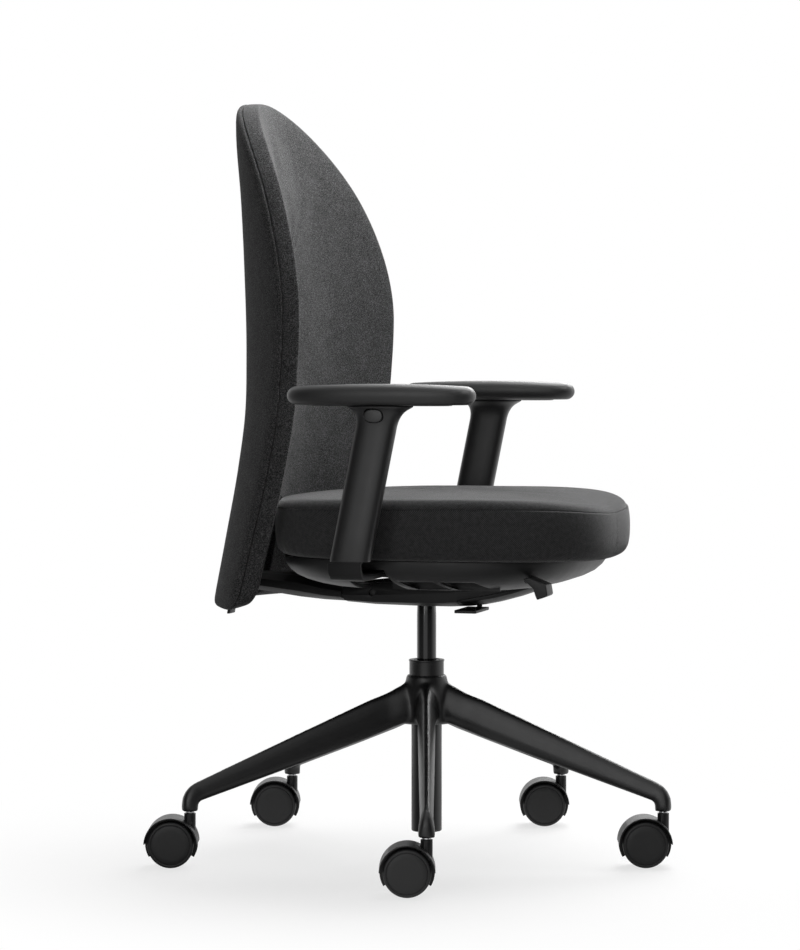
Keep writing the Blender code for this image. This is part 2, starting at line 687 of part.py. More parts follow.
def housing():
    rings = [onto_root(housing_ring(BACK_PIVOT_X - ROOT_RADIUS), ROOT_RADIUS)]
    rings += [housing_ring(x) for x in (BACK_PIVOT_X, 0.0, PAN_FLAT_FRONT, *NOSE_STATIONS)]
    body = node("mechanism_housing", loft_mesh("mechanism_housing", rings), BLACK_PLASTIC, LIFT)
    over = 0.05
    reach = 2 * HOUSING_HALF_WIDTH
    room = parting_line(0.0) + [(NOSE_FRONT + 0.03, PAN_LOW - 0.03)]
    combine(body, prism_mesh("nose_room", room, -reach, reach), "DIFFERENCE", CHAIR)
    slot = TONGUE_HALF_WIDTH + SIDE_GAP
    eye = EYE_RADIUS + SIDE_GAP
    combine(body, box_mesh("tongue_slot", (BACK_PIVOT_X - ROOT_RADIUS - over, -slot, PAN_LOW - over),
                           (BACK_PIVOT_X + eye, slot, HOUSING_TOP + over)), "DIFFERENCE", CHAIR)
    taper = turned_mesh("column_socket", [
        (0.0, COLUMN_TOP + SEAT_GAP), (COLUMN_RADIUS - COLUMN_TAPER + SEAT_GAP, COLUMN_TOP + SEAT_GAP),
        (COLUMN_RADIUS + SEAT_GAP, COLUMN_TOP - TAPER_LENGTH), (0.0, COLUMN_TOP - TAPER_LENGTH)])
    combine(body, taper, "DIFFERENCE", CHAIR)
    room = SPRING_RADIUS + SPRING_WIRE + SIDE_GAP
    combine(body, box_mesh("spring_room", (SPRING_START, -room, SPRING_HEIGHT - room),
                           (SPRING_START + SPRING_LENGTH, room, HOUSING_TOP + over)), "DIFFERENCE", CHAIR)
    for x, z in ((BACK_PIVOT_X, BACK_PIVOT_Z), (SEAT_PIVOT_X, SEAT_PIVOT_Z)):
        hole = rod_mesh("shaft_hole", (x, -reach, z), (x, reach, z), PIVOT_RADIUS + SEAT_GAP, 14)
        combine(body, hole, "DIFFERENCE", CHAIR)
    smooth(body)


def nose():
    """Tray that closes the front of the mechanism from below."""
    rings = [housing_ring(x) for x in (PAN_FLAT_FRONT, *NOSE_STATIONS)]
    tip = NOSE_FRONT - HOUSING_FRONT
    rings.append([(x + tip, y * (1 - tip / HOUSING_HALF_WIDTH), z + tip / 2) for x, y, z in rings[-1]])
    cover = node("mechanism_nose", loft_mesh("mechanism_nose", rings), BLACK_PLASTIC, LIFT)
    over = 0.05
    line = parting_line(SEAT_GAP)
    beyond = line + [(line[-1][0], HOUSING_TOP + over), (0.0, HOUSING_TOP + over), (0.0, line[0][1])]
    reach = 2 * HOUSING_HALF_WIDTH
    combine(cover, prism_mesh("nose_trim", beyond, -reach, reach), "DIFFERENCE", CHAIR)
    pin_top = PAN_LOW + LOCK_PIN_LENGTH + SIDE_GAP
    pin_hole = rod_mesh("lock_pin_hole", (LOCK_X, LOCK_Y, PAN_LOW - 0.01), (LOCK_X, LOCK_Y, pin_top),
                        LEVER_RADIUS + RUN_GAP, 12)
    combine(cover, pin_hole, "DIFFERENCE", CHAIR)
    smooth(cover)


def coil_mesh(name, start, length, radius, wire, turns):
    """A coil spring along X, one unbroken wire."""
    drawing = bpy.data.curves.new(name, "CURVE")
    drawing.dimensions = "3D"
    drawing.bevel_depth = wire
    drawing.bevel_resolution = 1
    drawing.use_fill_caps = True
    line = drawing.splines.new("POLY")
    count = turns * 9
    line.points.add(count)
    for index, point in enumerate(line.points):
        angle = 2 * math.pi * turns * index / count
        along = start[0] + wire + (length - 2 * wire) * index / count
        point.co = (along, start[1] + radius * math.cos(angle), start[2] + radius * math.sin(angle), 1.0)
    source = bpy.data.objects.new(name, drawing)
    CUTTERS.objects.link(source)
    return evaluated(source, name)


def mechanism_insides():
    back_reach = HOUSING_HALF_WIDTH - 0.004
    seat_reach = HOUSING_HALF_WIDTH + SIDE_GAP + LUG_WIDTH
    for name, x, z, reach in (("back_pivot_shaft", BACK_PIVOT_X, BACK_PIVOT_Z, back_reach),
                              ("seat_pivot_shaft", SEAT_PIVOT_X, SEAT_PIVOT_Z, seat_reach)):
        shaft = rod_mesh(name, (x, -reach, z), (x, reach, z), PIVOT_RADIUS, 14)
        smooth(node(name, shaft, BARE_STEEL, LIFT))
    clear = 2 * SEAT_GAP
    spring = coil_mesh("tilt_spring", (SPRING_START + clear, 0.0, SPRING_HEIGHT), SPRING_LENGTH - 2 * clear,
                       SPRING_RADIUS, SPRING_WIRE, SPRING_TURNS)
    smooth(node("tilt_spring", spring, BARE_STEEL, LIFT))
    guide = rod_mesh("spring_guide", (SPRING_START + SEAT_GAP, 0.0, SPRING_HEIGHT),
                     (SPRING_START + SPRING_LENGTH - SEAT_GAP, 0.0, SPRING_HEIGHT),
                     SPRING_RADIUS - SPRING_WIRE - RUN_GAP, 12)
    smooth(node("spring_guide", guide, BARE_STEEL, LIFT))


# Seat

def seat_outline(front, rear, half_width, inset, count):
    """Plan of the seat: a full, rounded square, front on +X."""
    middle = (front + rear) / 2
    half_length = (front - rear) / 2 - inset
    return [(middle + along, across) for along, across in
            oval(half_length, half_width - inset, SEAT_FULLNESS, count)]


def level_ring(front, rear, half_width, inset, height, count):
    return [(x, y, height) for x, y in seat_outline(front, rear, half_width, inset, count)]


BOARD_TOP = CUSHION_BOTTOM - SEAT_GAP
BOARD_BOTTOM = BOARD_TOP - BOARD_THICKNESS
PLATE_TOP = BOARD_BOTTOM - SEAT_GAP
PLATE_BOTTOM = PLATE_TOP - PLATE_THICKNESS


def seat_cushion():
    """Crowned cushion, drawn in at its bottom edge and at the seam round its top."""
    side = CUSHION_SEAM - CUSHION_BOTTOM
    crown = CUSHION_CROWN - CUSHION_SEAM
    shape = ((0.120, 0.0), (0.026, 0.0), (0.009, 0.09 * side), (0.0015, 0.30 * side),
             (0.0, 0.62 * side), (0.003, 0.88 * side), (0.0085, side),
             (0.0125, side + 0.14 * crown), (0.032, side + 0.48 * crown),
             (0.075, side + 0.80 * crown), (0.150, side + crown))
    rings = [level_ring(SEAT_FRONT, SEAT_REAR, SEAT_HALF_WIDTH, inset, CUSHION_BOTTOM + rise, 40)
             for inset, rise in shape]
    smooth(node("seat_cushion", loft_mesh("seat_cushion", rings), SEAT_FABRIC, SEAT_TILT), 80)


def seat_board():
    rings = [level_ring(SHELL_FRONT, SHELL_REAR, SHELL_HALF_WIDTH, BOARD_INSET, height, 28)
             for height in (BOARD_BOTTOM, BOARD_TOP)]
    node("seat_board", loft_mesh("seat_board", rings), BOARD_PLASTIC, SEAT_TILT)


def shell_surface():
    """Open bowl under the seat, from its rim down to the lip round the mechanism."""
    depth = BOARD_TOP - SHELL_BOTTOM
    shape = ((0.0, depth), (0.0, 0.80 * depth), (0.016, 0.42 * depth), (0.045, 0.18 * depth),
             (0.082, 0.02 * depth), (0.110, 0.0), (0.124, 0.04 * depth))
    work = bmesh.new()
    loops = []
    for inset, rise in shape:
        ring = level_ring(SHELL_FRONT, SHELL_REAR, SHELL_HALF_WIDTH, inset, SHELL_BOTTOM + rise, 36)
        loops.append([work.verts.new(point) for point in ring])
    for upper, lower in zip(loops, loops[1:]):
        for index in range(len(upper)):
            after = (index + 1) % len(upper)
            work.faces.new((lower[index], lower[after], upper[after], upper[index]))
    mesh = bpy.data.meshes.new("seat_shell")
    work.to_mesh(mesh)
    work.free()
    return mesh


WINDOWS = (0.018, 0.076)
WINDOW_LENGTH = 0.049
WINDOW_LEAN = 0.016
WINDOW_LOW = SHELL_BOTTOM + 0.0035
WINDOW_HIGH = SHELL_BOTTOM + 0.0165
STRAP_FRONT = -0.008
STRAP_REAR = -0.055


def seat_shell():
    form = loose("seat_shell_form", shell_surface())
    wall = form.modifiers.new("wall", "SOLIDIFY")
    wall.thickness = SHELL_WALL
    wall.offset = -1.0
    shell = node("seat_shell", evaluated(form, "seat_shell"), BLACK_PLASTIC, SEAT_TILT)
    under = SHELL_BOTTOM - 0.02
    outside = SHELL_HALF_WIDTH + 0.05
    slot = [(STRAP_REAR - SIDE_GAP, SHELL_RIM_FOOT), (STRAP_FRONT + 0.010, SHELL_RIM_FOOT),
            (STRAP_FRONT + 0.012, SHELL_RIM_FOOT - 0.008), (STRAP_FRONT + 0.022, SHELL_RIM_FOOT - 0.024),
            (STRAP_FRONT + 0.040, under), (STRAP_REAR - SIDE_GAP, under)]
    for side in (-1, 1):
        low, high = sorted((side * 0.080, side * outside))
        combine(shell, prism_mesh("strap_slot", slot, low, high), "DIFFERENCE", CHAIR)
        low, high = sorted((side * 0.140, side * outside))
        for start in WINDOWS:
            pane = [(start, WINDOW_HIGH), (start + WINDOW_LENGTH, WINDOW_HIGH),
                    (start + WINDOW_LENGTH + WINDOW_LEAN, WINDOW_LOW), (start + WINDOW_LEAN, WINDOW_LOW)]
            combine(shell, prism_mesh("window", pane, low, high), "DIFFERENCE", CHAIR)
    half = HOUSING_HALF_WIDTH + MECHANISM_ROOM
    combine(shell, box_mesh("mechanism_opening", (SHELL_REAR - 0.05, -half, under),
                            (NOSE_FRONT + MECHANISM_ROOM, half, SHELL_RIM_FOOT)), "DIFFERENCE", CHAIR)
    room = 0.004
    lever_slot = box_mesh("lever_slot", (LEVER_X - 0.012, -LEVER_END - room, under),
                          (LEVER_X + 0.040, -LEVER_START + room, PLATE_BOTTOM - 0.002))
    combine(shell, lever_slot, "DIFFERENCE", CHAIR)
    smooth(shell)


def seat_plate():
    """Steel carrier under the board, with lugs on the seat pivot and on the height lever."""
    plate = node("seat_plate", box_mesh("seat_plate", (PLATE_REAR, -PLATE_HALF_WIDTH, PLATE_BOTTOM),
                                        (PLATE_FRONT, PLATE_HALF_WIDTH, PLATE_TOP)), BLACK_STEEL, SEAT_TILT)
    inner = HOUSING_HALF_WIDTH + SIDE_GAP
    radius = 2.4 * PIVOT_RADIUS
    for side in (-1, 1):
        low, high = sorted((side * inner, side * (inner + LUG_WIDTH)))
        lug = [(SEAT_PIVOT_X - 1.4 * radius, PLATE_TOP - 0.004)]
        lug += arc((SEAT_PIVOT_X, SEAT_PIVOT_Z), radius, math.pi, 2 * math.pi, 8)
        lug += [(SEAT_PIVOT_X + 1.4 * radius, PLATE_TOP - 0.004)]
        combine(plate, prism_mesh("lug", lug, low, high), "UNION", CHAIR)
    lever_z = PLATE_BOTTOM - LEVER_DROP
    ear = [(LEVER_X - 0.009, PLATE_TOP - 0.004)]
    ear += arc((LEVER_X, lever_z), 2 * LEVER_RADIUS, math.pi, 2 * math.pi, 6)
    ear += [(LEVER_X + 0.009, PLATE_TOP - 0.004)]
    combine(plate, prism_mesh("ear", ear, -LEVER_START - 0.016, -LEVER_START), "UNION", CHAIR)
    reach = 2 * HOUSING_HALF_WIDTH
    pivot_hole = rod_mesh("pivot_hole", (SEAT_PIVOT_X, -reach, SEAT_PIVOT_Z),
                          (SEAT_PIVOT_X, reach, SEAT_PIVOT_Z), PIVOT_RADIUS + RUN_GAP, 14)
    combine(plate, pivot_hole, "DIFFERENCE", CHAIR)
    lever_hole = rod_mesh("lever_hole", (LEVER_X, -reach, lever_z), (LEVER_X, 0.0, lever_z),
                          LEVER_RADIUS + RUN_GAP, 12)
    combine(plate, lever_hole, "DIFFERENCE", CHAIR)
    smooth(plate)


LEVER_AXIS = empty("height_lever_axis", (LEVER_X, -LEVER_START, PLATE_BOTTOM - LEVER_DROP), parent=CHAIR)
LOCK_AXIS = empty("tilt_lock_axis", (LOCK_X, LOCK_Y, PAN_LOW), parent=CHAIR)


def levers():
    lever_z = PLATE_BOTTOM - LEVER_DROP
    rod = rod_mesh("seat_height_lever", (LEVER_X, -LEVER_START, lever_z), (LEVER_X, -LEVER_END, lever_z),
                   LEVER_RADIUS, 12)
    lever = node("seat_height_lever", rod, BLACK_PLASTIC, LEVER_AXIS)
    paddle = [(LEVER_X - 0.005, lever_z + 0.004), (LEVER_X + 0.006, lever_z + 0.005),
              (LEVER_X + 0.026, lever_z - 0.006), (LEVER_X + 0.029, lever_z - 0.018),
              (LEVER_X + 0.014, lever_z - 0.025)]
    combine(lever, prism_mesh("paddle", paddle, -LEVER_END, PADDLE_WIDTH - LEVER_END), "UNION", CHAIR)
    smooth(lever)
    top = PAN_LOW - LOCK_DROP
    rear = LOCK_X - LOCK_BEHIND
    blade = box_mesh("tilt_lock_lever", (rear, -LOCK_REACH, top - LOCK_THICKNESS),
                     (rear + LOCK_LENGTH, LOCK_Y + 0.012, top))
    tab = node("tilt_lock_lever", blade, BLACK_PLASTIC, LOCK_AXIS)
    pin = rod_mesh("lock_pin", (LOCK_X, LOCK_Y, top - 0.002), (LOCK_X, LOCK_Y, PAN_LOW + LOCK_PIN_LENGTH),
                   LEVER_RADIUS, 12)
    combine(tab, pin, "UNION", CHAIR)
    smooth(tab)


housing()
nose()
mechanism_insides()
seat_cushion()
seat_board()
seat_shell()
seat_plate()
levers()


# Arms

def arm_axis_x(height):
    return ARM_FOOT_X + math.tan(ARM_LEAN) * (height - ARM_FOOT_Z)


def arm_bracket(side, carrier):
    """A strap from under the seat plate, bent up into the post inside the sleeve."""
    strap_z = PLATE_BOTTOM - SEAT_GAP - STRAP_THICKNESS / 2
    strap_x = (STRAP_FRONT + STRAP_REAR) / 2
    half = (STRAP_FRONT - STRAP_REAR) / 2
    bend_y = ARM_Y - STRAP_BEND
    path = [(STRAP_START, strap_z, 0.0), (bend_y, strap_z, 0.0)]
    for degrees in (30, 60, 90):
        turn = math.radians(degrees)
        path.append((bend_y + STRAP_BEND * math.sin(turn), strap_z + STRAP_BEND * (1 - math.cos(turn)), turn))
    rings = []
    for y, z, turn in path:
        out, up = STRAP_THICKNESS / 2 * math.sin(turn), STRAP_THICKNESS / 2 * math.cos(turn)
        rings.append([(strap_x + a * half, side * (y - b * out), z + b * up)
                      for a, b in ((-1, -1), (1, -1), (1, 1), (-1, 1))])
    for z in (path[-1][1] + 0.004, POST_TOP):
        rings.append([(arm_axis_x(z) + a * POST_HALF_WIDTH, side * (ARM_Y - b * POST_HALF_THICKNESS), z)
                      for a, b in ((-1, -1), (1, -1), (1, 1), (-1, 1))])
    return node(f"arm_bracket_{SIDE_NAMES[side]}", loft_mesh("arm_bracket", rings), BLACK_STEEL, carrier)


def button_outline(extra):
    return [(BUTTON_X + a, BUTTON_Z + b) for a, b in
            oval(BUTTON_HALF_LENGTH + extra, BUTTON_HALF_HEIGHT + extra, 2.4, 16)]


def arm_sleeve(side, carrier):
    """Oval sleeve that flares into the flange under the pad, hollow for the post."""
    rise = FLANGE_TOP - NECK_FOOT
    shape = ((ARM_FOOT_Z, 0.0), (NECK_FOOT, 0.0), (NECK_FOOT + 0.45 * rise, 0.16),
             (NECK_FOOT + 0.72 * rise, 0.46), (NECK_FOOT + 0.9 * rise, 0.92), (FLANGE_TOP, 1.0))
    rings = []
    for z, flare in shape:
        along = SLEEVE_HALF_LENGTH + flare * (FLANGE_HALF_LENGTH - SLEEVE_HALF_LENGTH)
        across = SLEEVE_HALF_THICKNESS + flare * (FLANGE_HALF_WIDTH - SLEEVE_HALF_THICKNESS)
        rings.append([(arm_axis_x(z) + a, side * ARM_Y + b, z) for a, b in oval(along, across, 2.8, 18)])
    sleeve = node(f"arm_sleeve_{SIDE_NAMES[side]}", loft_mesh("arm_sleeve", rings), BLACK_PLASTIC, carrier)
    half = POST_HALF_WIDTH + RUN_GAP
    foot, head = ARM_FOOT_Z - 0.01, POST_TOP + 0.006
    pocket = [(arm_axis_x(foot) - half, foot), (arm_axis_x(foot) + half, foot),
              (arm_axis_x(head) + half, head), (arm_axis_x(head) - half, head)]
    thick = POST_HALF_THICKNESS + RUN_GAP
    post_pocket = prism_mesh("post_pocket", pocket, side * ARM_Y - thick, side * ARM_Y + thick)
    combine(sleeve, post_pocket, "DIFFERENCE", CHAIR)
    low, high = sorted((side * (ARM_Y + 0.006), side * (ARM_Y + 0.05)))
    combine(sleeve, prism_mesh("button_pocket", button_outline(SEAT_GAP), low, high), "DIFFERENCE", CHAIR)
    return smooth(sleeve)


SIDE_NAMES = {1: "left", -1: "right"}


def arms():
    plate_z = FLANGE_TOP + SEAT_GAP
    pad_z = plate_z + ARM_PLATE_THICKNESS + SEAT_GAP
    for side, name in SIDE_NAMES.items():
        slide = empty(f"arm_height_axis_{name}", (ARM_FOOT_X, side * ARM_Y, ARM_FOOT_Z), parent=CHAIR)
        press = empty(f"arm_button_axis_{name}", (BUTTON_X, side * ARM_Y, BUTTON_Z), parent=CHAIR)
        arm_bracket(side, SEAT_TILT)
        arm_sleeve(side, slide)
        low, high = sorted((side * (ARM_Y + 0.0105), side * (ARM_Y + 0.0195)))
        button = prism_mesh("arm_button", button_outline(0.0), low, high)
        smooth(node(f"arm_button_{name}", button, BLACK_PLASTIC, press))
        flat = oval(0.75 * PAD_HALF_LENGTH, 0.66 * PAD_HALF_WIDTH, 3, 20)
        rings = [[(PAD_X + a, side * PAD_Y + b, z) for a, b in flat]
                 for z in (plate_z, plate_z + ARM_PLATE_THICKNESS)]
        node(f"arm_plate_{name}", loft_mesh("arm_plate", rings), BLACK_PLASTIC, slide)
        rings = []
        for share, rise in PAD_SHAPE:
            ring = []
            for a, b in oval(PAD_HALF_LENGTH * (1 - 0.33 * (1 - share)), PAD_HALF_WIDTH * share, 2.5, 28):
                droop = PAD_DROOP * rise * (a / PAD_HALF_LENGTH) ** 2
                ring.append((PAD_X + a, side * PAD_Y + b, pad_z + PAD_THICKNESS * rise - droop))
            rings.append(ring)
        smooth(node(f"arm_pad_{name}", loft_mesh("arm_pad", rings), PAD_FOAM, slide), 80)


arms()


# Back

BACK_COLUMNS = (-1.0, -0.965, -0.90, -0.75, -0.50, -0.25, 0.0, 0.25, 0.50, 0.75, 0.90, 0.965, 1.0)
BACK_ROWS = (-1.0, -0.97, -0.90, -0.75, -0.55, -0.35, -0.15, 0.05, 0.25, 0.45, 0.65, 0.82, 0.93, 0.975, 1.0)
SHOULDER = math.radians(50)


def through(points, at):
    """A smooth curve through (place, value) points."""
    index = max(1, min(len(points) - 1, sum(place < at for place, _ in points)))
    (x0, y0), (x1, y1) = points[index - 1], points[index]
    xa, ya = points[max(index - 2, 0)]
    xb, yb = points[min(index + 1, len(points) - 1)]
    slope0, slope1 = (y1 - ya) / (x1 - xa), (yb - y0) / (xb - x0)
    share, span = (at - x0) / (x1 - x0), x1 - x0
    return ((1 + 2 * share) * (1 - share) ** 2 * y0 + share * (1 - share) ** 2 * span * slope0
            + share ** 2 * (3 - 2 * share) * y1 + share ** 2 * (share - 1) * span * slope1)


def back_rear_x(y, z):
    return through(BACK_PROFILE, z) + through(BACK_WRAPS, z) * y * y


def back_half_width(z):
    if z >= BACK_WAIST:
        return BACK_HALF_WIDTH * math.sqrt(max(1 - ((z - BACK_WAIST) / BACK_ARCH_HEIGHT) ** 2, 0.0))
    half = BACK_HALF_WIDTH - BACK_LOW_TAPER * ((BACK_WAIST - z) / (BACK_WAIST - BACK_BOTTOM)) ** 1.5
    above = min(max(BACK_BOTTOM + BACK_CORNER - z, 0.0), BACK_CORNER)
    return half - BACK_CORNER + math.sqrt(BACK_CORNER ** 2 - above ** 2)


def back_point(column, row):
    """Place on the back's outline grid, across and up, each from -1 to 1."""
    shoulder_y = BACK_HALF_WIDTH * math.cos(SHOULDER)
    shoulder_z = BACK_WAIST + BACK_ARCH_HEIGHT * math.sin(SHOULDER)
    share = (row + 1) / 2
    level = BACK_BOTTOM + (shoulder_z - BACK_BOTTOM) * share
    arch = BACK_WAIST + BACK_ARCH_HEIGHT * math.sqrt(1 - (shoulder_y * column / BACK_HALF_WIDTH) ** 2)
    edge = back_half_width(level)
    return edge * column, level + share ** 3 * (arch - shoulder_z)


def edge_share(column, row, start):
    """0 inside, rising to 1 at the rim, from a given share of the way out."""
    return max((max(abs(column), abs(row)) - start) / (1 - start), 0.0)


def back_layer(name, columns_at, rows_at, rear, front):
    """One closed layer of the back between two faces, given as depths ahead of the rear surface."""
    work = bmesh.new()
    grids = []
    for depth in (rear, front):
        grid = []
        for row in rows_at:
            line = []
            for column in columns_at:
                y, z = back_point(column, row)
                line.append(work.verts.new((back_rear_x(y, z) + depth(column, row), y, z)))
            grid.append(line)
        grids.append(grid)
    behind, ahead = grids
    rows, columns = len(rows_at), len(columns_at)
    for grid in grids:
        for i in range(rows - 1):
            for j in range(columns - 1):
                corners = (grid[i][j], grid[i][j + 1], grid[i + 1][j + 1], grid[i + 1][j])
                outward = (j < columns // 2) == (i < rows // 2)
                for half in ((0, 1, 2), (0, 2, 3)) if outward else ((0, 1, 3), (1, 2, 3)):
                    work.faces.new([corners[k] for k in half])
    rim = [(0, j) for j in range(columns)] + [(i, columns - 1) for i in range(1, rows)]
    rim += [(rows - 1, j) for j in range(columns - 2, -1, -1)] + [(i, 0) for i in range(rows - 2, 0, -1)]
    for (i, j), (k, m) in zip(rim, rim[1:] + rim[:1]):
        work.faces.new((behind[i][j], behind[k][m], ahead[k][m], ahead[i][j]))
    return mesh_from(work, name)


SHELL_REAR_DEPTH = COVER_THICKNESS + SEAT_GAP
SHELL_FRONT_DEPTH = SHELL_REAR_DEPTH + BACK_SHELL_WALL
CUSHION_DEPTH = SHELL_FRONT_DEPTH + RUN_GAP
SPINE_DEPTH = CUSHION_DEPTH + through(BACK_WRAPS, SPINE_TOP) * SPINE_HALF_WIDTH ** 2 + SPINE_ROOM


def cover_rear_depth(column, row):
    return 0.5 * COVER_THICKNESS * edge_share(column, row, 0.93) ** 2


def cushion_rear_depth(column, row):
    return CUSHION_DEPTH + (SHELL_REAR_DEPTH - CUSHION_DEPTH) * edge_share(column, row, 0.975)


def cushion_front_depth(column, row):
    crown = BACK_CROWN * (1 - column ** 2) * (1 - row ** 4)
    return BACK_THICKNESS - BACK_CROWN + crown - BACK_ROLL * edge_share(column, row, 0.90) ** 2


def spine_line(depth):
    """Rear face of the spine, pushed forward by a depth: foot and head, in side view."""
    foot = back_rear_x(0.0, SPINE_FOOT) + SPINE_DEPTH + depth
    head = back_rear_x(0.0, SPINE_TOP) + SPINE_DEPTH + depth
    return (foot, SPINE_FOOT), (head, SPINE_TOP)


def back_pads():
    cover = back_layer("back_rear_cover", BACK_COLUMNS, BACK_ROWS, cover_rear_depth,
                       lambda column, row: COVER_THICKNESS)
    smooth(node("back_rear_cover", cover, BACK_FABRIC, BACK_HEIGHT), 80)
    columns = (-SHELL_SHARE, *BACK_COLUMNS[2:-2], SHELL_SHARE)
    rows = (-SHELL_SHARE, *BACK_ROWS[2:-2], SHELL_SHARE)
    shell = back_layer("back_shell", columns, rows, lambda column, row: SHELL_REAR_DEPTH,
                       lambda column, row: SHELL_FRONT_DEPTH)
    shell = node("back_shell", shell, BOARD_PLASTIC, BACK_HEIGHT)
    notch = LATCH_HALF_WIDTH + SIDE_GAP
    latch_notch = box_mesh("latch_notch", (LATCH_X - CUT_REACH, -notch, BACK_BOTTOM - CUT_REACH),
                           (LATCH_X + CUT_REACH, notch, LATCH_TOP + SIDE_GAP))
    combine(shell, latch_notch, "DIFFERENCE", CHAIR)
    front = back_layer("back_front_cushion", BACK_COLUMNS, BACK_ROWS, cushion_rear_depth, cushion_front_depth)
    front = node("back_front_cushion", front, BACK_FABRIC, BACK_HEIGHT)
    half = SPINE_HALF_WIDTH + SIDE_GAP
    foot, head = spine_line(SPINE_THICKNESS + RUN_GAP)
    rise = BACK_TRAVEL_ROOM
    slope = (head[0] - foot[0]) / (head[1] - foot[1])
    pocket = [(foot[0] - 0.05, BACK_BOTTOM - 0.03), (foot[0] - slope * 0.04, SPINE_FOOT - 0.04), foot,
              (head[0], head[1] + rise), (head[0] - 0.05, head[1] + rise)]
    combine(front, prism_mesh("spine_pocket", pocket, -half, half), "DIFFERENCE", CHAIR)
    gate = CARRIER_TIP[1] + GATE_ROOM
    carrier_gate = box_mesh("carrier_gate", (CARRIER_TIP[0] - CUT_REACH, -gate, BACK_BOTTOM - CUT_REACH),
                            (CARRIER_TIP[0] + CUT_REACH, gate, GATE_TOP))
    combine(front, carrier_gate, "DIFFERENCE", CHAIR)
    smooth(front, 80)


def back_carrier():
    """Arm from the eye on the back pivot to the spine inside the back."""
    stations = ((BACK_PIVOT_X - ROOT_RADIUS, *CARRIER_ROOT), *CARRIER_BENDS, CARRIER_TIP)
    rings = []
    for x, half, low, high in stations:
        middle, tall = (low + high) / 2, (high - low) / 2
        rings.append([(x, a * half, middle + b * tall) for a, b in CARRIER_SECTION])
    rings[0] = onto_root(rings[0], ROOT_RADIUS + ROOT_GAP)
    carrier = node("back_carrier", loft_mesh("back_carrier", rings), BLACK_PLASTIC, BACK_TILT)
    tongue_rear = BACK_PIVOT_X - ROOT_RADIUS - TONGUE_ROOT
    tongue = box_mesh("tongue", (tongue_rear, -TONGUE_HALF_WIDTH, BACK_PIVOT_Z - TONGUE_HALF_HEIGHT),
                      (BACK_PIVOT_X, TONGUE_HALF_WIDTH, BACK_PIVOT_Z + TONGUE_HALF_HEIGHT))
    combine(carrier, tongue, "UNION", CHAIR)
    eye = rod_mesh("eye", (BACK_PIVOT_X, -TONGUE_HALF_WIDTH, BACK_PIVOT_Z),
                   (BACK_PIVOT_X, TONGUE_HALF_WIDTH, BACK_PIVOT_Z), EYE_RADIUS, 16)
    combine(carrier, eye, "UNION", CHAIR)
    (foot_x, foot_z), (head_x, head_z) = spine_line(0.0)
    outline = [(foot_x, foot_z), (foot_x + SPINE_THICKNESS, foot_z),
               (head_x + SPINE_THICKNESS, head_z), (head_x, head_z)]
    combine(carrier, prism_mesh("spine", outline, -SPINE_HALF_WIDTH, SPINE_HALF_WIDTH), "UNION", CHAIR)
    bore = rod_mesh("eye_bore", (BACK_PIVOT_X, -HOUSING_HALF_WIDTH, BACK_PIVOT_Z),
                    (BACK_PIVOT_X, HOUSING_HALF_WIDTH, BACK_PIVOT_Z), PIVOT_RADIUS + RUN_GAP, 14)
    combine(carrier, bore, "DIFFERENCE", CHAIR)
    smooth(carrier)


def back_latch():
    """Tab below the back, on a thin plate that goes up into the shell's notch."""
    foot = back_rear_x(0.0, LATCH_BOTTOM) + SHELL_REAR_DEPTH + SIDE_GAP
    head = back_rear_x(0.0, LATCH_TOP) + SHELL_REAR_DEPTH + SIDE_GAP
    outline = [(foot, LATCH_BOTTOM), (foot + LATCH_THICKNESS, LATCH_BOTTOM),
               (head + LATCH_THICKNESS, LATCH_TOP), (head, LATCH_TOP)]
    smooth(node("back_latch", prism_mesh("back_latch", outline, -LATCH_HALF_WIDTH, LATCH_HALF_WIDTH),
                BLACK_PLASTIC, LATCH_AXIS))


LATCH_X = back_rear_x(0.0, LATCH_TOP) + SHELL_REAR_DEPTH
BACK_HEIGHT = empty("back_height_axis", (spine_line(0.0)[0][0], 0.0, SPINE_FOOT), parent=CHAIR)
LATCH_AXIS = empty("back_latch_axis", (LATCH_X, 0.0, LATCH_TOP), parent=CHAIR)
back_pads()
back_carrier()
back_latch()
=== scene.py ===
import json
import math

import bpy
import numpy as np
from mathutils import Matrix, Vector

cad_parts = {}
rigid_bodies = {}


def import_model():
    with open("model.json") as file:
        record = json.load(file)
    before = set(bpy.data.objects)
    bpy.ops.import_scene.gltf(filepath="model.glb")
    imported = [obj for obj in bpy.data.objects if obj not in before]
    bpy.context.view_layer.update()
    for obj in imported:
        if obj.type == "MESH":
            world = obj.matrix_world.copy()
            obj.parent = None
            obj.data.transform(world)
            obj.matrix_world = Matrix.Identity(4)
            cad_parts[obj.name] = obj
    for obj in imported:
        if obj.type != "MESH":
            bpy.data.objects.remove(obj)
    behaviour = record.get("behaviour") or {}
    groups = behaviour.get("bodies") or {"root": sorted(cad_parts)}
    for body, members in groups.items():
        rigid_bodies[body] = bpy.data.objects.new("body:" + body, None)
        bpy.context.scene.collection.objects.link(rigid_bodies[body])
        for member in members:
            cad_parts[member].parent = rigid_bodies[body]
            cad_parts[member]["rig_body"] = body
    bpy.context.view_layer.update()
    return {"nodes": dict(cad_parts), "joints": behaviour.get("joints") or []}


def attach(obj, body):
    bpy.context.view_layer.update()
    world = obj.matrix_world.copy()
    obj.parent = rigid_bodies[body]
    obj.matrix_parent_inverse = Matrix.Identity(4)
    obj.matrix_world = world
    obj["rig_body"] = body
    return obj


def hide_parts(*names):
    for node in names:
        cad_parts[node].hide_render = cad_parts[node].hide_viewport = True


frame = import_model()
joint = {made["name"]: made for made in frame["joints"]}
column = Vector((joint["swivel"]["pos_m"][0], joint["swivel"]["pos_m"][1], 0.0))


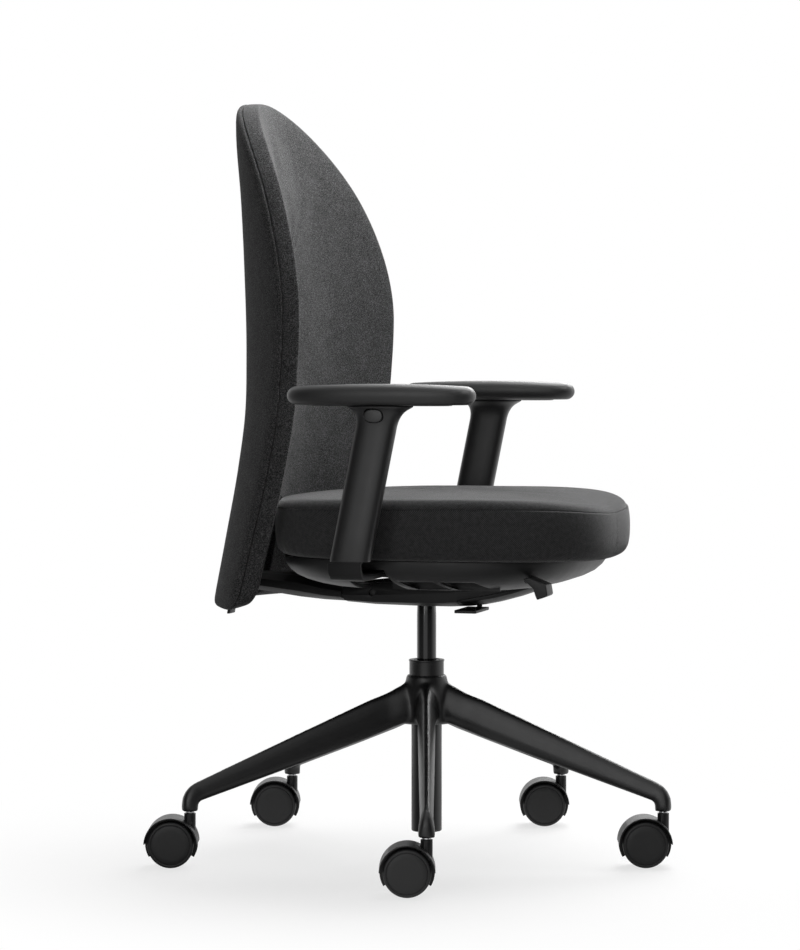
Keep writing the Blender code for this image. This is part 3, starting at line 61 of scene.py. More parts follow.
# Studio
# A plain pale floor that runs out to white, and soft light: broad panels above and behind, a narrow
# one on the back, two tall strips for the rims, and a weak fill and strip by the camera.
# Shiny pieces mirror a pale backdrop and a bright band before and behind them, in a dim room.
class Wire:
    """A socket of a node tree that takes part in sums."""

    def __init__(self, nodes, socket):
        self.nodes = nodes
        self.socket = socket

    def beside(self, name):
        """Another socket of the same node."""
        return Wire(self.nodes, self.socket.node.outputs[name])

    def sum(self, operation, first, second=0.0):
        return self.nodes.node("ShaderNodeMath", {"operation": operation}, {0: first, 1: second})

    def __add__(self, other):
        return self.sum("ADD", self, other)

    def __sub__(self, other):
        return self.sum("SUBTRACT", self, other)

    def __rsub__(self, other):
        return self.sum("SUBTRACT", other, self)

    def __mul__(self, other):
        return self.sum("MULTIPLY", self, other)

    def sine(self):
        return self.sum("SINE", self)

    def most(self, other):
        return self.sum("MAXIMUM", self, other)

    def size(self):
        return self.sum("ABSOLUTE", self)

    __radd__ = __add__
    __rmul__ = __mul__


class Nodes:
    """A node tree, and one way to add any node to it."""

    def __init__(self, tree):
        self.tree = tree

    def join(self, value, socket):
        if isinstance(value, Wire):
            self.tree.links.new(value.socket, socket)
        else:
            socket.default_value = value

    def node(self, kind, settings=None, sockets=None, out=0):
        made = self.tree.nodes.new(kind)
        for name, value in (settings or {}).items():
            if name == "stops":
                ramp = made.color_ramp.elements
                while len(ramp) < len(value):
                    ramp.new(0.5)
                for stop, (place, shade) in zip(ramp, value):
                    stop.position = place
                    stop.color = (*shade, 1.0)
            else:
                setattr(made, name, value)
        for name, value in (sockets or {}).items():
            self.join(value, made.inputs[name])
        return Wire(self, made.outputs[out])

    def between(self, value, low, high, first, last, blend="LINEAR"):
        """A value carried from one range to another."""
        return self.node("ShaderNodeMapRange", {"interpolation_type": blend},
                         {"Value": value, "From Min": low, "From Max": high, "To Min": first, "To Max": last})


class Finish(Nodes):
    """A material in the making, round its principled shader."""

    def __init__(self, name, colour, **steady):
        self.made = bpy.data.materials.new(name)
        self.made.use_nodes = True
        self.made.diffuse_color = (*colour, 1.0)
        super().__init__(self.made.node_tree)
        self.shader = self.tree.nodes["Principled BSDF"]
        self.feed(base_color=(*colour, 1.0), **steady)

    def feed(self, **sockets):
        for name, value in sockets.items():
            self.join(value, self.shader.inputs[name.replace("_", " ").title().replace("Ior", "IOR")])

    def place(self):
        return self.node("ShaderNodeTexCoord", out="Object")

    def noise(self, scale, detail=2.0, rough=0.5, at=None, stretch=None):
        where = at or self.place()
        if stretch:
            where = self.node("ShaderNodeMapping", {}, {"Vector": where, "Scale": stretch})
        return self.node("ShaderNodeTexNoise", {}, {"Vector": where, "Scale": scale, "Detail": detail,
                                                    "Roughness": rough}, out="Fac")

    def shades(self, amount, *stops):
        return self.node("ShaderNodeValToRGB", {"stops": stops}, {"Fac": amount})

    def bump(self, height, strength, distance):
        self.feed(normal=self.node("ShaderNodeBump", {}, {"Strength": strength, "Distance": distance,
                                                          "Height": height}))


ROOM_SHADE, BACKDROP_FROM, BACKDROP_FULL = 0.06, -0.30, 0.35
WINDOW_SHADE, WINDOW_AT, WINDOW_HALF, WINDOW_EDGE = 0.85, 0.03, 0.30, 0.52


def room_seen(nodes, heading):
    """How bright a direction looks: white to the camera, and the backdrop, window or dim room to shiny pieces."""
    ray = nodes.node("ShaderNodeLightPath", out="Is Camera Ray")
    mirrored = ray.beside("Is Glossy Ray").most(ray.beside("Is Transmission Ray"))
    away = nodes.node("ShaderNodeSeparateXYZ", {}, {"Vector": heading}, out="Y")
    backdrop = nodes.between(away, BACKDROP_FROM, BACKDROP_FULL, ROOM_SHADE, 1.0)
    window = nodes.between((away.beside("X") - WINDOW_AT).size(), WINDOW_HALF, WINDOW_EDGE, WINDOW_SHADE, 0.0)
    return ray.most(mirrored * backdrop.most(window))


WHITE = (1.0, 1.0, 1.0)
AIR_LIGHT = 0.05
studio = bpy.context.scene
studio.view_settings.view_transform = "Standard"
studio.world = bpy.data.worlds.new("studio_air")
studio.world.use_nodes = True
air = Nodes(studio.world.node_tree)
sky = air.tree.nodes["Background"].inputs
sky["Color"].default_value = (*WHITE, 1.0)
air.join(room_seen(air, air.node("ShaderNodeTexCoord", out="Generated")).most(AIR_LIGHT), sky["Strength"])

FLOOR_RADIUS, FLOOR_SINK = 9.0, 0.0004
FLOOR_PAPER, FLOOR_BOUNCE = (0.92, 0.92, 0.92), (0.22, 0.22, 0.22)
FADE_FROM, FADE_TO, FADE_LEAST = 0.30, 0.85, 0.72
bpy.ops.object.select_all(action="DESELECT")
bpy.ops.mesh.primitive_circle_add(vertices=96, radius=FLOOR_RADIUS, fill_type="NGON", location=(0, 0, -FLOOR_SINK))
floor = bpy.context.object
floor.name = "studio_floor"
bpy.ops.object.transform_apply(location=True, rotation=True, scale=True)
paper = Finish("floor_paper", FLOOR_PAPER, roughness=0.7)
looked_at = paper.node("ShaderNodeLightPath", out="Is Camera Ray")
paper.feed(base_color=paper.shades(looked_at, (0.0, FLOOR_BOUNCE), (1.0, FLOOR_PAPER)))
spot = paper.node("ShaderNodeVectorMath", {"operation": "LENGTH"}, {0: paper.place()}, out="Value")
fade = paper.between(spot, FADE_FROM, FADE_TO, FADE_LEAST, 1.0, "SMOOTHSTEP")
towards = paper.node("ShaderNodeVectorMath", {"operation": "NORMALIZE"}, {0: paper.place()}, out="Vector")
white = paper.node("ShaderNodeEmission", {}, {"Color": (*WHITE, 1.0), "Strength": 1.0}, out="Emission")
mixed = paper.node("ShaderNodeMixShader", {}, {"Fac": fade * room_seen(paper, towards), 2: white,
                                               1: Wire(paper, paper.shader.outputs[0])}, out="Shader")
paper.join(mixed, paper.tree.nodes["Material Output"].inputs["Surface"])
floor.data.materials.append(paper.made)


def lamp(name, place, aim, wide, tall, power, spread=180):
    light = bpy.data.lights.new(name, "AREA")
    light.spread = math.radians(spread)
    light.shape = "RECTANGLE"
    light.size = wide
    light.size_y = tall
    light.energy = power
    made = bpy.data.objects.new(name, light)
    studio.collection.objects.link(made)
    made.location = place
    made.rotation_mode = "QUATERNION"
    made.rotation_quaternion = (Vector(aim) - Vector(place)).to_track_quat("-Z", "Y")


lamp("panel_overhead", (0.3, 0.8, 2.8), (0.1, 0.0, 0.5), 1.5, 1.5, 58.0)
lamp("panel_rear", (0.3, 2.5, 2.1), (0.05, 0.0, 0.55), 2.0, 1.0, 52.0)
lamp("panel_back", (1.2, -0.2, 2.05), (-0.27, 0.0, 0.94), 0.8, 0.8, 1.7, 30)
lamp("rim_right", (1.9, 2.2, 1.2), (0.0, 0.0, 0.5), 0.5, 2.2, 5.0)
lamp("rim_left", (-2.2, 1.6, 1.4), (0.0, 0.0, 0.6), 0.5, 2.2, 1.5)
lamp("fill_camera", (0.5, -3.5, 1.4), (0.0, 0.0, 0.6), 2.0, 2.0, 8.0)
lamp("strip_camera", (-0.55, -3.4, 1.2), (0.0, 0.0, 0.6), 0.40, 2.0, 9.0)

VIEW_TURN, VIEW_DISTANCE, VIEW_HEIGHT = math.radians(16.2), 4.55, 0.7228
IMAGE_LONG, FOCUS, SHIFT_ACROSS, SHIFT_UP = 950, 3139.5, -26.6, -120.0
SENSOR = 36.0
camera = bpy.data.objects.new("photo_camera", bpy.data.cameras.new("photo_camera"))
studio.collection.objects.link(camera)
studio.camera = camera
camera.location = column + Vector((VIEW_DISTANCE * math.sin(VIEW_TURN), -VIEW_DISTANCE * math.cos(VIEW_TURN),
                                   VIEW_HEIGHT))
camera.rotation_euler = (math.pi / 2, 0.0, VIEW_TURN)
camera.data.sensor_width = SENSOR
camera.data.lens = FOCUS * SENSOR / IMAGE_LONG
camera.data.shift_x = SHIFT_ACROSS / IMAGE_LONG
camera.data.shift_y = SHIFT_UP / IMAGE_LONG


# Star base
# One aluminium casting: a hub with five arms that fall to the castor sleeves.
# It is powder coated satin black, so edges are eased and the skin has a faint orange peel.
WELD = 0.00002
FLAT_ANGLE = 0.5


def activate(piece):
    bpy.ops.object.select_all(action="DESELECT")
    bpy.context.view_layer.objects.active = piece
    piece.select_set(True)
    return piece


def smooth_by(piece, angle):
    activate(piece)
    bpy.ops.object.shade_smooth_by_angle(angle=math.radians(angle))
    return piece


def ease_edges(piece, width, segments, angle):
    """Round a piece's edges that are sharper than an angle."""
    edge = piece.modifiers.new("ease", "BEVEL")
    edge.width = width
    edge.segments = segments
    edge.limit_method = "ANGLE"
    edge.angle_limit = math.radians(angle)
    activate(piece)
    bpy.ops.object.modifier_apply(modifier="ease")


def wear(piece, finish, body, *nodes):
    """Give a piece its finish, and let it ride for its CAD nodes."""
    piece.data.materials.clear()
    piece.data.materials.append(finish.made)
    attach(piece, body)
    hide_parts(*nodes)


def dress(node, finish, ease=0.0008, angle=30, segments=2):
    """A copy of a CAD piece with whole faces, eased edges and its own finish."""
    source = frame["nodes"][node]
    piece = bpy.data.objects.new(node + "_dressed", source.data.copy())
    studio.collection.objects.link(piece)
    activate(piece)
    bpy.ops.object.mode_set(mode="EDIT")
    bpy.ops.mesh.select_all(action="SELECT")
    bpy.ops.mesh.remove_doubles(threshold=WELD)
    bpy.ops.mesh.dissolve_limited(angle_limit=math.radians(FLAT_ANGLE))
    bpy.ops.object.mode_set(mode="OBJECT")
    if ease:
        ease_edges(piece, ease, segments, angle)
    smooth_by(piece, angle + 4)
    wear(piece, finish, source["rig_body"], node)
    return piece


def soot(level):
    """A near black, a touch cool."""
    return (level, level, level + 0.0005)


powder_coat = Finish("powder_coat_black", soot(0.014), roughness=0.36)
powder_coat.feed(roughness=0.33 + powder_coat.noise(60.0, 3.0) * 0.08)
powder_coat.bump(powder_coat.noise(900.0, 1.0), 0.10, 0.0004)
SKIN_GRAIN = 0.002
FAIR_REACH, FAIR_EASE, FAIR_TOP, FAIR_LIP = 0.085, 0.025, 0.256, 0.008
FAIR_ROUNDS, SAND_ROUNDS = 60, 8
star = dress("star_base", powder_coat, 0.0)
skin = star.modifiers.new("skin", "REMESH")
skin.mode = "VOXEL"
skin.voxel_size = SKIN_GRAIN
bpy.ops.object.modifier_apply(modifier="skin")
roots = star.vertex_groups.new(name="roots")
for point in star.data.vertices:
    out = math.hypot(point.co.x - column.x, point.co.y - column.y)
    near = min(max((FAIR_REACH - out) / FAIR_EASE, 0.0), 1.0)
    roots.add([point.index], near * min(max((FAIR_TOP - point.co.z) / FAIR_LIP, 0.0), 1.0), "REPLACE")
for name, group, rounds in (("fair", "roots", FAIR_ROUNDS), ("sand", "", SAND_ROUNDS)):
    rub = star.modifiers.new(name, "SMOOTH")
    rub.factor = 0.5
    rub.iterations = rounds
    rub.vertex_group = group
    bpy.ops.object.modifier_apply(modifier=name)
bpy.ops.object.shade_smooth()


# Castors
# Five hooded castors with a pair of wheels each: moulded nylon hoods with a web between the wheels,
# hard black wheels on a common steel axle, and steel stems pressed into the base's sleeves.
castor_nylon = Finish("castor_nylon", soot(0.012), roughness=0.40, specular_ior_level=0.35)
castor_nylon.feed(roughness=0.36 + castor_nylon.noise(90.0, 2.0) * 0.10)
castor_nylon.bump(castor_nylon.noise(1400.0, 1.0), 0.12, 0.0002)
castor_tread = Finish("castor_tread", soot(0.016), roughness=0.55)
scuff = castor_tread.noise(240.0, 4.0, 0.65)
castor_tread.feed(roughness=0.48 + scuff * 0.16,
                  base_color=castor_tread.shades(scuff, (0.0, soot(0.015)), (1.0, soot(0.026))))
castor_tread.bump(scuff, 0.10, 0.0002)
ground_steel = Finish("ground_steel", (0.50, 0.50, 0.51), roughness=0.28, metallic=1.0)
ground_steel.feed(roughness=0.22 + ground_steel.noise(500.0, 3.0, 0.6, stretch=(1.0, 1.0, 0.05)) * 0.16)
CASTOR_TURN, CASTOR_TRAIL = math.radians(196.2), 0.026
WHEEL_RADIUS, WHEEL_INNER, WHEEL_ROOM = 0.0325, 0.006, 0.05
WHEEL_SECTION = ((0.0042, 0.0), (0.0302, 0.0), (0.0317, 0.0006), (0.0325, 0.0022), (0.0325, 0.0136),
                 (0.0323, 0.0152), (0.0318, 0.0165), (0.0310, 0.0174), (0.0300, 0.0179), (0.0288, 0.0180),
                 (0.0283, 0.0176), (0.0281, 0.0170), (0.0276, 0.0170), (0.0273, 0.0175), (0.0266, 0.0179),
                 (0.0200, 0.0181), (0.0100, 0.0182))
HOOD_RADIUS, HOOD_WALL, HOOD_HALF, HOOD_REST, HOOD_LIP = 0.0379, 0.0015, 0.0245, math.radians(2), 0.0004
BOSS_RADIUS, BOSS_TOP, BOSS_FOOT = 0.0082, 0.0749, 0.046
WEB_HALF, WEB_ARCH, WEB_ARCH_DROP = 0.0045, 0.06, 0.070
PIN_EDGE = 0.0003


def capped(piece, angle):
    """Close the open ends of a piece."""
    activate(piece)
    bpy.ops.object.mode_set(mode="EDIT")
    bpy.ops.mesh.select_all(action="SELECT")
    bpy.ops.mesh.fill_holes(sides=0)
    bpy.ops.mesh.normals_make_consistent(inside=False)
    bpy.ops.object.mode_set(mode="OBJECT")
    return smooth_by(piece, angle)


def lathe(name, profile, steps=64, angle=35):
    """A turned piece on the Z axis: a circle drawn out ring by ring through (radius, height)."""
    bpy.ops.object.select_all(action="DESELECT")
    (radius, height), *rest = profile
    bpy.ops.mesh.primitive_circle_add(vertices=steps, radius=radius, location=(0.0, 0.0, height))
    piece = bpy.context.object
    piece.name = name
    bpy.ops.object.transform_apply(location=True, rotation=True, scale=True)
    bpy.ops.object.mode_set(mode="EDIT")
    bpy.ops.mesh.select_all(action="SELECT")
    for wide, up in rest:
        bpy.ops.mesh.extrude_region_move(TRANSFORM_OT_translate={"value": (0.0, 0.0, up - height)})
        bpy.ops.transform.resize(value=(wide / radius, wide / radius, 1.0))
        radius, height = wide, up
    bpy.ops.object.mode_set(mode="OBJECT")
    return capped(piece, angle)


def carve(piece, tool, operation="DIFFERENCE"):
    """Cut away, or join, another piece."""
    cut = piece.modifiers.new("carve", "BOOLEAN")
    cut.operation = operation
    cut.solver = "EXACT"
    cut.object = tool
    activate(piece)
    bpy.ops.object.modifier_apply(modifier="carve")
    bpy.data.objects.remove(tool)


def rod(name, radius, low, high, steps=48):
    """A plain round bar to carve with, between two points."""
    span = Vector(high) - Vector(low)
    bar = lathe(name, ((radius, 0.0), (radius, span.length)), steps)
    bar.data.transform(Matrix.Translation(low) @ span.to_track_quat("Z", "Y").to_matrix().to_4x4())
    return bar


def copy_to(model, name, place):
    """A copy of a model piece with its own mesh, put in its place."""
    piece = bpy.data.objects.new(name, model.data.copy())
    studio.collection.objects.link(piece)
    piece.data.transform(place)
    return piece


wheel_middle = Vector((CASTOR_TRAIL, 0.0, WHEEL_RADIUS))


def on_axle(along, up=0.0):
    """A point on the wheels' axle, or above it."""
    return wheel_middle + Vector((0.0, along, up))


bpy.ops.object.select_all(action="DESELECT")
bpy.ops.mesh.primitive_plane_add(size=1.0, location=wheel_middle + Vector((HOOD_RADIUS - HOOD_WALL / 2, 0.0, 0.0)))
hood = bpy.context.object
hood.scale = (HOOD_WALL, 2 * HOOD_HALF, 1.0)
bpy.ops.object.transform_apply(location=True, rotation=True, scale=True)
hood.data.transform(Matrix.Translation(wheel_middle) @ Matrix.Rotation(-HOOD_REST, 4, "Y")
                    @ Matrix.Translation(-wheel_middle))
bpy.ops.object.mode_set(mode="EDIT")
bpy.ops.mesh.select_all(action="SELECT")
bpy.ops.mesh.spin(steps=56, angle=math.pi - 2 * HOOD_REST, center=wheel_middle, axis=(0.0, 1.0, 0.0))
bpy.ops.mesh.select_all(action="SELECT")
bpy.ops.mesh.remove_doubles(threshold=WELD)
bpy.ops.mesh.fill_holes(sides=4)
bpy.ops.mesh.normals_make_consistent(inside=False)
bpy.ops.object.mode_set(mode="OBJECT")
carve(hood, rod("boss", BOSS_RADIUS, (0.0, 0.0, BOSS_FOOT), (0.0, 0.0, BOSS_TOP)), "UNION")
web = rod("web", HOOD_RADIUS - HOOD_WALL / 2, on_axle(-WEB_HALF), on_axle(WEB_HALF), 96)
carve(web, rod("web_arch", WEB_ARCH, on_axle(-0.1, -WEB_ARCH_DROP), on_axle(0.1, -WEB_ARCH_DROP), 128))
carve(hood, web, "UNION")
for low, high in ((-WHEEL_ROOM, -WEB_HALF), (WEB_HALF, WHEEL_ROOM)):
    carve(hood, rod("wheel_room", HOOD_RADIUS - HOOD_WALL, on_axle(low), on_axle(high), 112))
ease_edges(hood, HOOD_LIP, 2, 40)
smooth_by(hood, 40)
wheel = lathe("wheel", WHEEL_SECTION, 72, 50)
for number in range(1, 6):
    stand = Vector(joint[f"castor_swivel_{number}"]["pos_m"])
    stand.z = 0.0
    turned = Matrix.Translation(stand) @ Matrix.Rotation(CASTOR_TURN, 4, "Z")
    dress(f"castor_stem_{number}", ground_steel, PIN_EDGE)
    dress(f"castor_axle_{number}", ground_steel, PIN_EDGE)
    wear(copy_to(hood, f"castor_{number}_hood", turned), castor_nylon, f"castor_{number}", f"castor_hood_{number}")
    for side, way in (("left", 1), ("right", -1)):
        laid = Matrix.Translation(on_axle(way * WHEEL_INNER)) @ Matrix.Rotation(-way * math.pi / 2, 4, "X")
        wear(copy_to(wheel, f"castor_{number}_{side}_wheel", turned @ laid), castor_tread,
             f"wheel_{number}_{side}", f"castor_wheel_{number}_{side}")
for model in (hood, wheel):
    bpy.data.objects.remove(model)


# Gas lift
# A powder coated steel tube is pressed into the hub and carries a plastic guide bush.
# The gloss black gas column slides in it, and its piston rod stands on a bearing at the tube's foot.
lift_gloss = Finish("lift_gloss", soot(0.010), roughness=0.16, coat_weight=0.15, coat_roughness=0.06)
lift_gloss.feed(roughness=0.10 + lift_gloss.noise(300.0, 3.0, 0.6, stretch=(1.0, 1.0, 0.04)) * 0.08)
dress("lift_column", lift_gloss, 0.0004)
dress("column_tube", powder_coat, 0.0005)
dress("guide_bush", castor_nylon, PIN_EDGE)
for node in ("piston_rod", "thrust_bearing"):
    dress(node, ground_steel, PIN_EDGE)


# Tilt mechanism
# Two fine-grained mouldings under the seat hold the pivots, spring and column socket.
# The carrier that holds the back hinges at their rear, and the tilt lock's tab shows below.
moulding = Finish("black_moulding", soot(0.016), roughness=0.48, specular_ior_level=0.35)
spark = moulding.noise(1900.0, 2.0, 0.6)
moulding.feed(roughness=0.42 + moulding.noise(45.0, 3.0) * 0.14,
              base_color=moulding.shades(spark, (0.0, soot(0.013)), (1.0, soot(0.020))))
moulding.bump(spark, 0.22, 0.0002)
SHAFT_EDGE = 0.0002
for node in ("mechanism_housing", "mechanism_nose", "back_carrier", "tilt_lock_lever"):
    dress(node, moulding, 0.0012, 26, 3)
for node in ("back_pivot_shaft", "seat_pivot_shaft"):
    dress(node, moulding, SHAFT_EDGE)
for node in ("tilt_spring", "spring_guide"):
    dress(node, ground_steel, SHAFT_EDGE)


# Seat shell, height lever, plate and board
# A moulded bowl closes the underside of the seat, with two windows and a strap slot on each side.
# The steel plate and the board are screwed together inside it, and the lever's paddle hangs below.
SHELL_FRONT, SHELL_REAR, SHELL_HALF, SHELL_WALL = 0.252, -0.188, 0.222, 0.003
SHELL_BOTTOM, SHELL_DEPTH, SHELL_FULLNESS, SHELL_ROUND = 0.392, 0.0459, 3.0, 144
SHELL_SECTION = ((0.0, 1.0), (0.0, 0.88), (0.0015, 0.76), (0.0065, 0.60), (0.016, 0.42), (0.029, 0.28),
                 (0.045, 0.165), (0.063, 0.075), (0.082, 0.02), (0.098, 0.002), (0.112, 0.0), (0.124, 0.04))
SHELL_EDGE, RIM_FOOT, BELOW_SHELL, BESIDE_SHELL = 0.0005, 0.4255, SHELL_BOTTOM - 0.02, 0.28
STRAP_REAR, STRAP_FRONT, STRAP_INNER, STRAP_GAP = -0.055, -0.008, 0.080, 0.0015
STRAP_SLOPE = ((0.010, RIM_FOOT), (0.012, RIM_FOOT - 0.008), (0.022, RIM_FOOT - 0.024), (0.040, BELOW_SHELL))
PANE_STARTS, PANE_LONG, PANE_LEAN, PANE_INNER = (0.018, 0.076), 0.049, 0.016, 0.140
PANE_LOW, PANE_HIGH = 0.3955, 0.4085
OPENING_REAR, OPENING_FRONT, OPENING_HALF = SHELL_REAR - 0.05, 0.190, 0.087
PADDLE_ROOM = ((0.1970, -0.2068), (0.2335, -0.1692))
PADDLE_ROOM_TOP = 0.4196
RIB_FACE, RIB_WALL, RIB_REAR, RIB_FRONT = 0.150, 0.002, -0.006, 0.150
RIB_FOOT, RIB_TOP = SHELL_BOTTOM + 0.002, 0.428
FINE_STEPS = 4000


def rounded(half_along, half_across, fullness, count):
    """Points round a superellipse, evenly spaced along its edge, and their way round it."""
    turn = np.linspace(0, 2 * math.pi, FINE_STEPS, endpoint=False)
    cosine, sine = np.cos(turn), np.sin(turn)
    along = half_along * np.sign(cosine) * np.abs(cosine) ** (2 / fullness)
    across = half_across * np.sign(sine) * np.abs(sine) ** (2 / fullness)
    steps = np.hypot(np.diff(along, append=along[0]), np.diff(across, append=across[0]))
    run = np.concatenate(([0.0], np.cumsum(steps)))
    want = np.linspace(0, run[-1], count, endpoint=False)
    spots = np.interp(want, run, np.arange(len(run)))
    low = np.floor(spots).astype(int) % FINE_STEPS
    return np.stack((along[low], across[low]), axis=1), want


def circle(name, points, fill="NOTHING"):
    """A circle whose points are moved to an outline, open for edit with everything selected."""
    bpy.ops.object.select_all(action="DESELECT")
    bpy.ops.mesh.primitive_circle_add(vertices=len(points), fill_type=fill)
    piece = bpy.context.object
    piece.name = name
    bpy.ops.object.transform_apply(location=True, rotation=True, scale=True)
    for point, spot in zip(piece.data.vertices, points):
        point.co = column + Vector(spot)
    bpy.ops.object.mode_set(mode="EDIT")
    bpy.ops.mesh.select_all(action="SELECT")
    return piece


def face_out():
    """Turn the faces of the piece in hand outwards, and leave edit mode."""
    bpy.ops.mesh.select_all(action="SELECT")
    bpy.ops.mesh.normals_make_consistent(inside=False)
    bpy.ops.object.mode_set(mode="OBJECT")


def drawn(name, ring, rows):
    """A piece drawn out of a circle: the circle takes a ring's shape, and each row then moves it on to a
    middle (along, across, up) and stretches it to its own half length and half width."""
    (middle, along, across), *rest = rows
    piece = circle(name, [Vector(middle) + Vector((spot[0] * along, spot[1] * across, 0.0)) for spot in ring])
    for place, longer, wider in rest:
        step = Vector(place) - Vector(middle)
        bpy.ops.mesh.extrude_region_move(TRANSFORM_OT_translate={"value": step})
        bpy.ops.transform.resize(value=(longer / along, wider / across, 1.0),
                                 center_override=column + Vector(place))
        middle, along, across = place, longer, wider
    face_out()
    return piece


def slab(name, outline, near, far):
    """A block with an outline of along and up points, carried across from one side to another."""
    block = circle(name, [(along, near, up) for along, up in outline], "NGON")
    bpy.ops.mesh.extrude_region_move(TRANSFORM_OT_translate={"value": (0.0, far - near, 0.0)})
    face_out()
    return block


def box_outline(rear, front, low, high):
    return ((rear, low), (front, low), (front, high), (rear, high))


shell_half = (SHELL_FRONT - SHELL_REAR) / 2
shell_ring, _ = rounded(1.0, SHELL_HALF / shell_half, SHELL_FULLNESS, SHELL_ROUND)
shell_ring[:, 1] *= shell_half / SHELL_HALF
shell = drawn("seat_shell_moulding", shell_ring, [
    ((SHELL_FRONT - shell_half, 0.0, SHELL_BOTTOM + rise * SHELL_DEPTH), shell_half - inset, SHELL_HALF - inset)
    for inset, rise in SHELL_SECTION])
wall = shell.modifiers.new("wall", "SOLIDIFY")
wall.thickness = SHELL_WALL
wall.offset = -1.0
bpy.ops.object.modifier_apply(modifier="wall")
carve(shell, slab("opening", box_outline(OPENING_REAR, OPENING_FRONT, BELOW_SHELL, RIM_FOOT),
                  -OPENING_HALF, OPENING_HALF))
strap_slot = [(STRAP_REAR - STRAP_GAP, RIM_FOOT)]
strap_slot += [(STRAP_FRONT + ahead, up) for ahead, up in STRAP_SLOPE]
strap_slot += [(STRAP_REAR - STRAP_GAP, BELOW_SHELL)]
for way in (-1, 1):
    carve(shell, slab("strap_slot", strap_slot, way * STRAP_INNER, way * BESIDE_SHELL))
    for start in PANE_STARTS:
        pane = ((start, PANE_HIGH), (start + PANE_LONG, PANE_HIGH),
                (start + PANE_LONG + PANE_LEAN, PANE_LOW), (start + PANE_LEAN, PANE_LOW))
        carve(shell, slab("window", pane, way * PANE_INNER, way * BESIDE_SHELL))
    carve(shell, slab("rib", box_outline(RIB_REAR, RIB_FRONT, RIB_FOOT, RIB_TOP),
                      way * (RIB_FACE - RIB_WALL), way * RIB_FACE), "UNION")
(paddle_rear, paddle_right), (paddle_front, paddle_left) = PADDLE_ROOM
carve(shell, slab("paddle_room", box_outline(paddle_rear, paddle_front, BELOW_SHELL, PADDLE_ROOM_TOP),
                  paddle_right, paddle_left))
ease_edges(shell, SHELL_EDGE, 2, 50)
smooth_by(shell, 40)
wear(shell, moulding, "seat", "seat_shell")

LEVER_X, LEVER_Z, LEVER_START, LEVER_END = 0.200, 0.4131, -0.050, -0.205
PADDLE_WIDE, PADDLE_EDGE, SPINDLE_RADIUS, SPINDLE_SUNK = 0.034, 0.0014, 0.004, 0.010
PADDLE_OUTLINE = ((-0.0035, 0.0030), (0.0060, 0.0045), (0.0290, -0.0045), (0.0315, -0.0185), (0.0290, -0.0207),
                  (0.0165, -0.0255), (0.0140, -0.0200), (0.0110, -0.0105))
lever = slab("height_lever_paddle", [(LEVER_X + along, LEVER_Z + up) for along, up in PADDLE_OUTLINE],
             LEVER_END, LEVER_END + PADDLE_WIDE)
ease_edges(lever, PADDLE_EDGE, 3, 30)
carve(lever, rod("spindle", SPINDLE_RADIUS, column + Vector((LEVER_X, LEVER_START, LEVER_Z)),
                 column + Vector((LEVER_X, LEVER_END + SPINDLE_SUNK, LEVER_Z)), 24), "UNION")
smooth_by(lever, 40)
wear(lever, moulding, "height_lever", "seat_height_lever")
dress("seat_plate", lift_gloss, 0.0006)
dress("seat_board", moulding, 0.0006)


# Arms
# Coated steel straps are screwed under the seat and bend up into posts. A moulded oval sleeve slides
# on each, held by a push button, and a pad of soft skinned foam covers the plate on top of it.
arm_coat = Finish("arm_coat", soot(0.015), roughness=0.50, specular_ior_level=0.25)
arm_coat.bump(arm_coat.noise(900.0, 1.0), 0.08, 0.0003)
pad_skin = Finish("pad_skin", soot(0.015), roughness=0.44)
pore = pad_skin.noise(1500.0, 2.0, 0.6)
pad_skin.feed(roughness=0.38 + pad_skin.noise(35.0, 3.0) * 0.12,
              base_color=pad_skin.shades(pore, (0.0, soot(0.024)), (1.0, soot(0.036))))
pad_skin.bump(pore, 0.20, 0.0002)
sleeve_coat = Finish("sleeve_coat", soot(0.014), roughness=0.38)
satin = sleeve_coat.noise(1700.0, 2.0, 0.6)
sleeve_coat.feed(roughness=0.34 + sleeve_coat.noise(50.0, 3.0) * 0.10,
                 base_color=sleeve_coat.shades(satin, (0.0, soot(0.012)), (1.0, soot(0.018))))
sleeve_coat.bump(satin, 0.14, 0.0002)
ARM_Y, ARM_LEAN, ARM_FOOT_X, ARM_FOOT_Z = 0.293, math.radians(11.5), -0.0234, 0.4415
SLEEVE_HALF, FLANGE_HALF, NECK_FOOT, FLANGE_TOP = (0.0285, 0.015), (0.045, 0.026), 0.626, 0.6535
SLEEVE_FULLNESS, SLEEVE_ROUND = 2.8, 96
SLEEVE_FLARE = ((0.0, 0.0), (0.25, 0.05), (0.45, 0.15), (0.62, 0.30), (0.75, 0.50), (0.85, 0.74), (0.92, 0.93),
                (0.96, 1.0), (1.0, 1.0))
FLARE_STEPS = (*np.linspace(0, 0.9, 16), 0.925, 0.95, 0.965)
POST_HALF, POST_ROOM, POST_FOOT, POST_HEAD = 0.0178, 0.0068, ARM_FOOT_Z - 0.01, 0.610
BUTTON_X, BUTTON_Z, BUTTON_HALF, BUTTON_GAP, BUTTON_ROUND = 0.0150, 0.6405, (0.0132, 0.0092), 0.0009, 48
BUTTON_SQUARE, BUTTON_EDGE, BUTTON_DEPTHS, BUTTON_ROOM = 0.83, 0.0016, (0.0105, 0.0195), (0.006, 0.05)
PAD_X, PAD_Y, PAD_Z, PAD_DROOP = 0.018, 0.285, 0.6571, 0.004
PAD_HALF, PAD_THICK, PAD_FULLNESS, PAD_ROUND = (0.133, 0.0425), 0.0262, 2.5, 128
PAD_WAIST, PAD_BULGE, PAD_ROLL, PAD_SEAT, PAD_TOP_INSET = 0.0119, 0.0143, 0.0125, 0.0134, 0.018
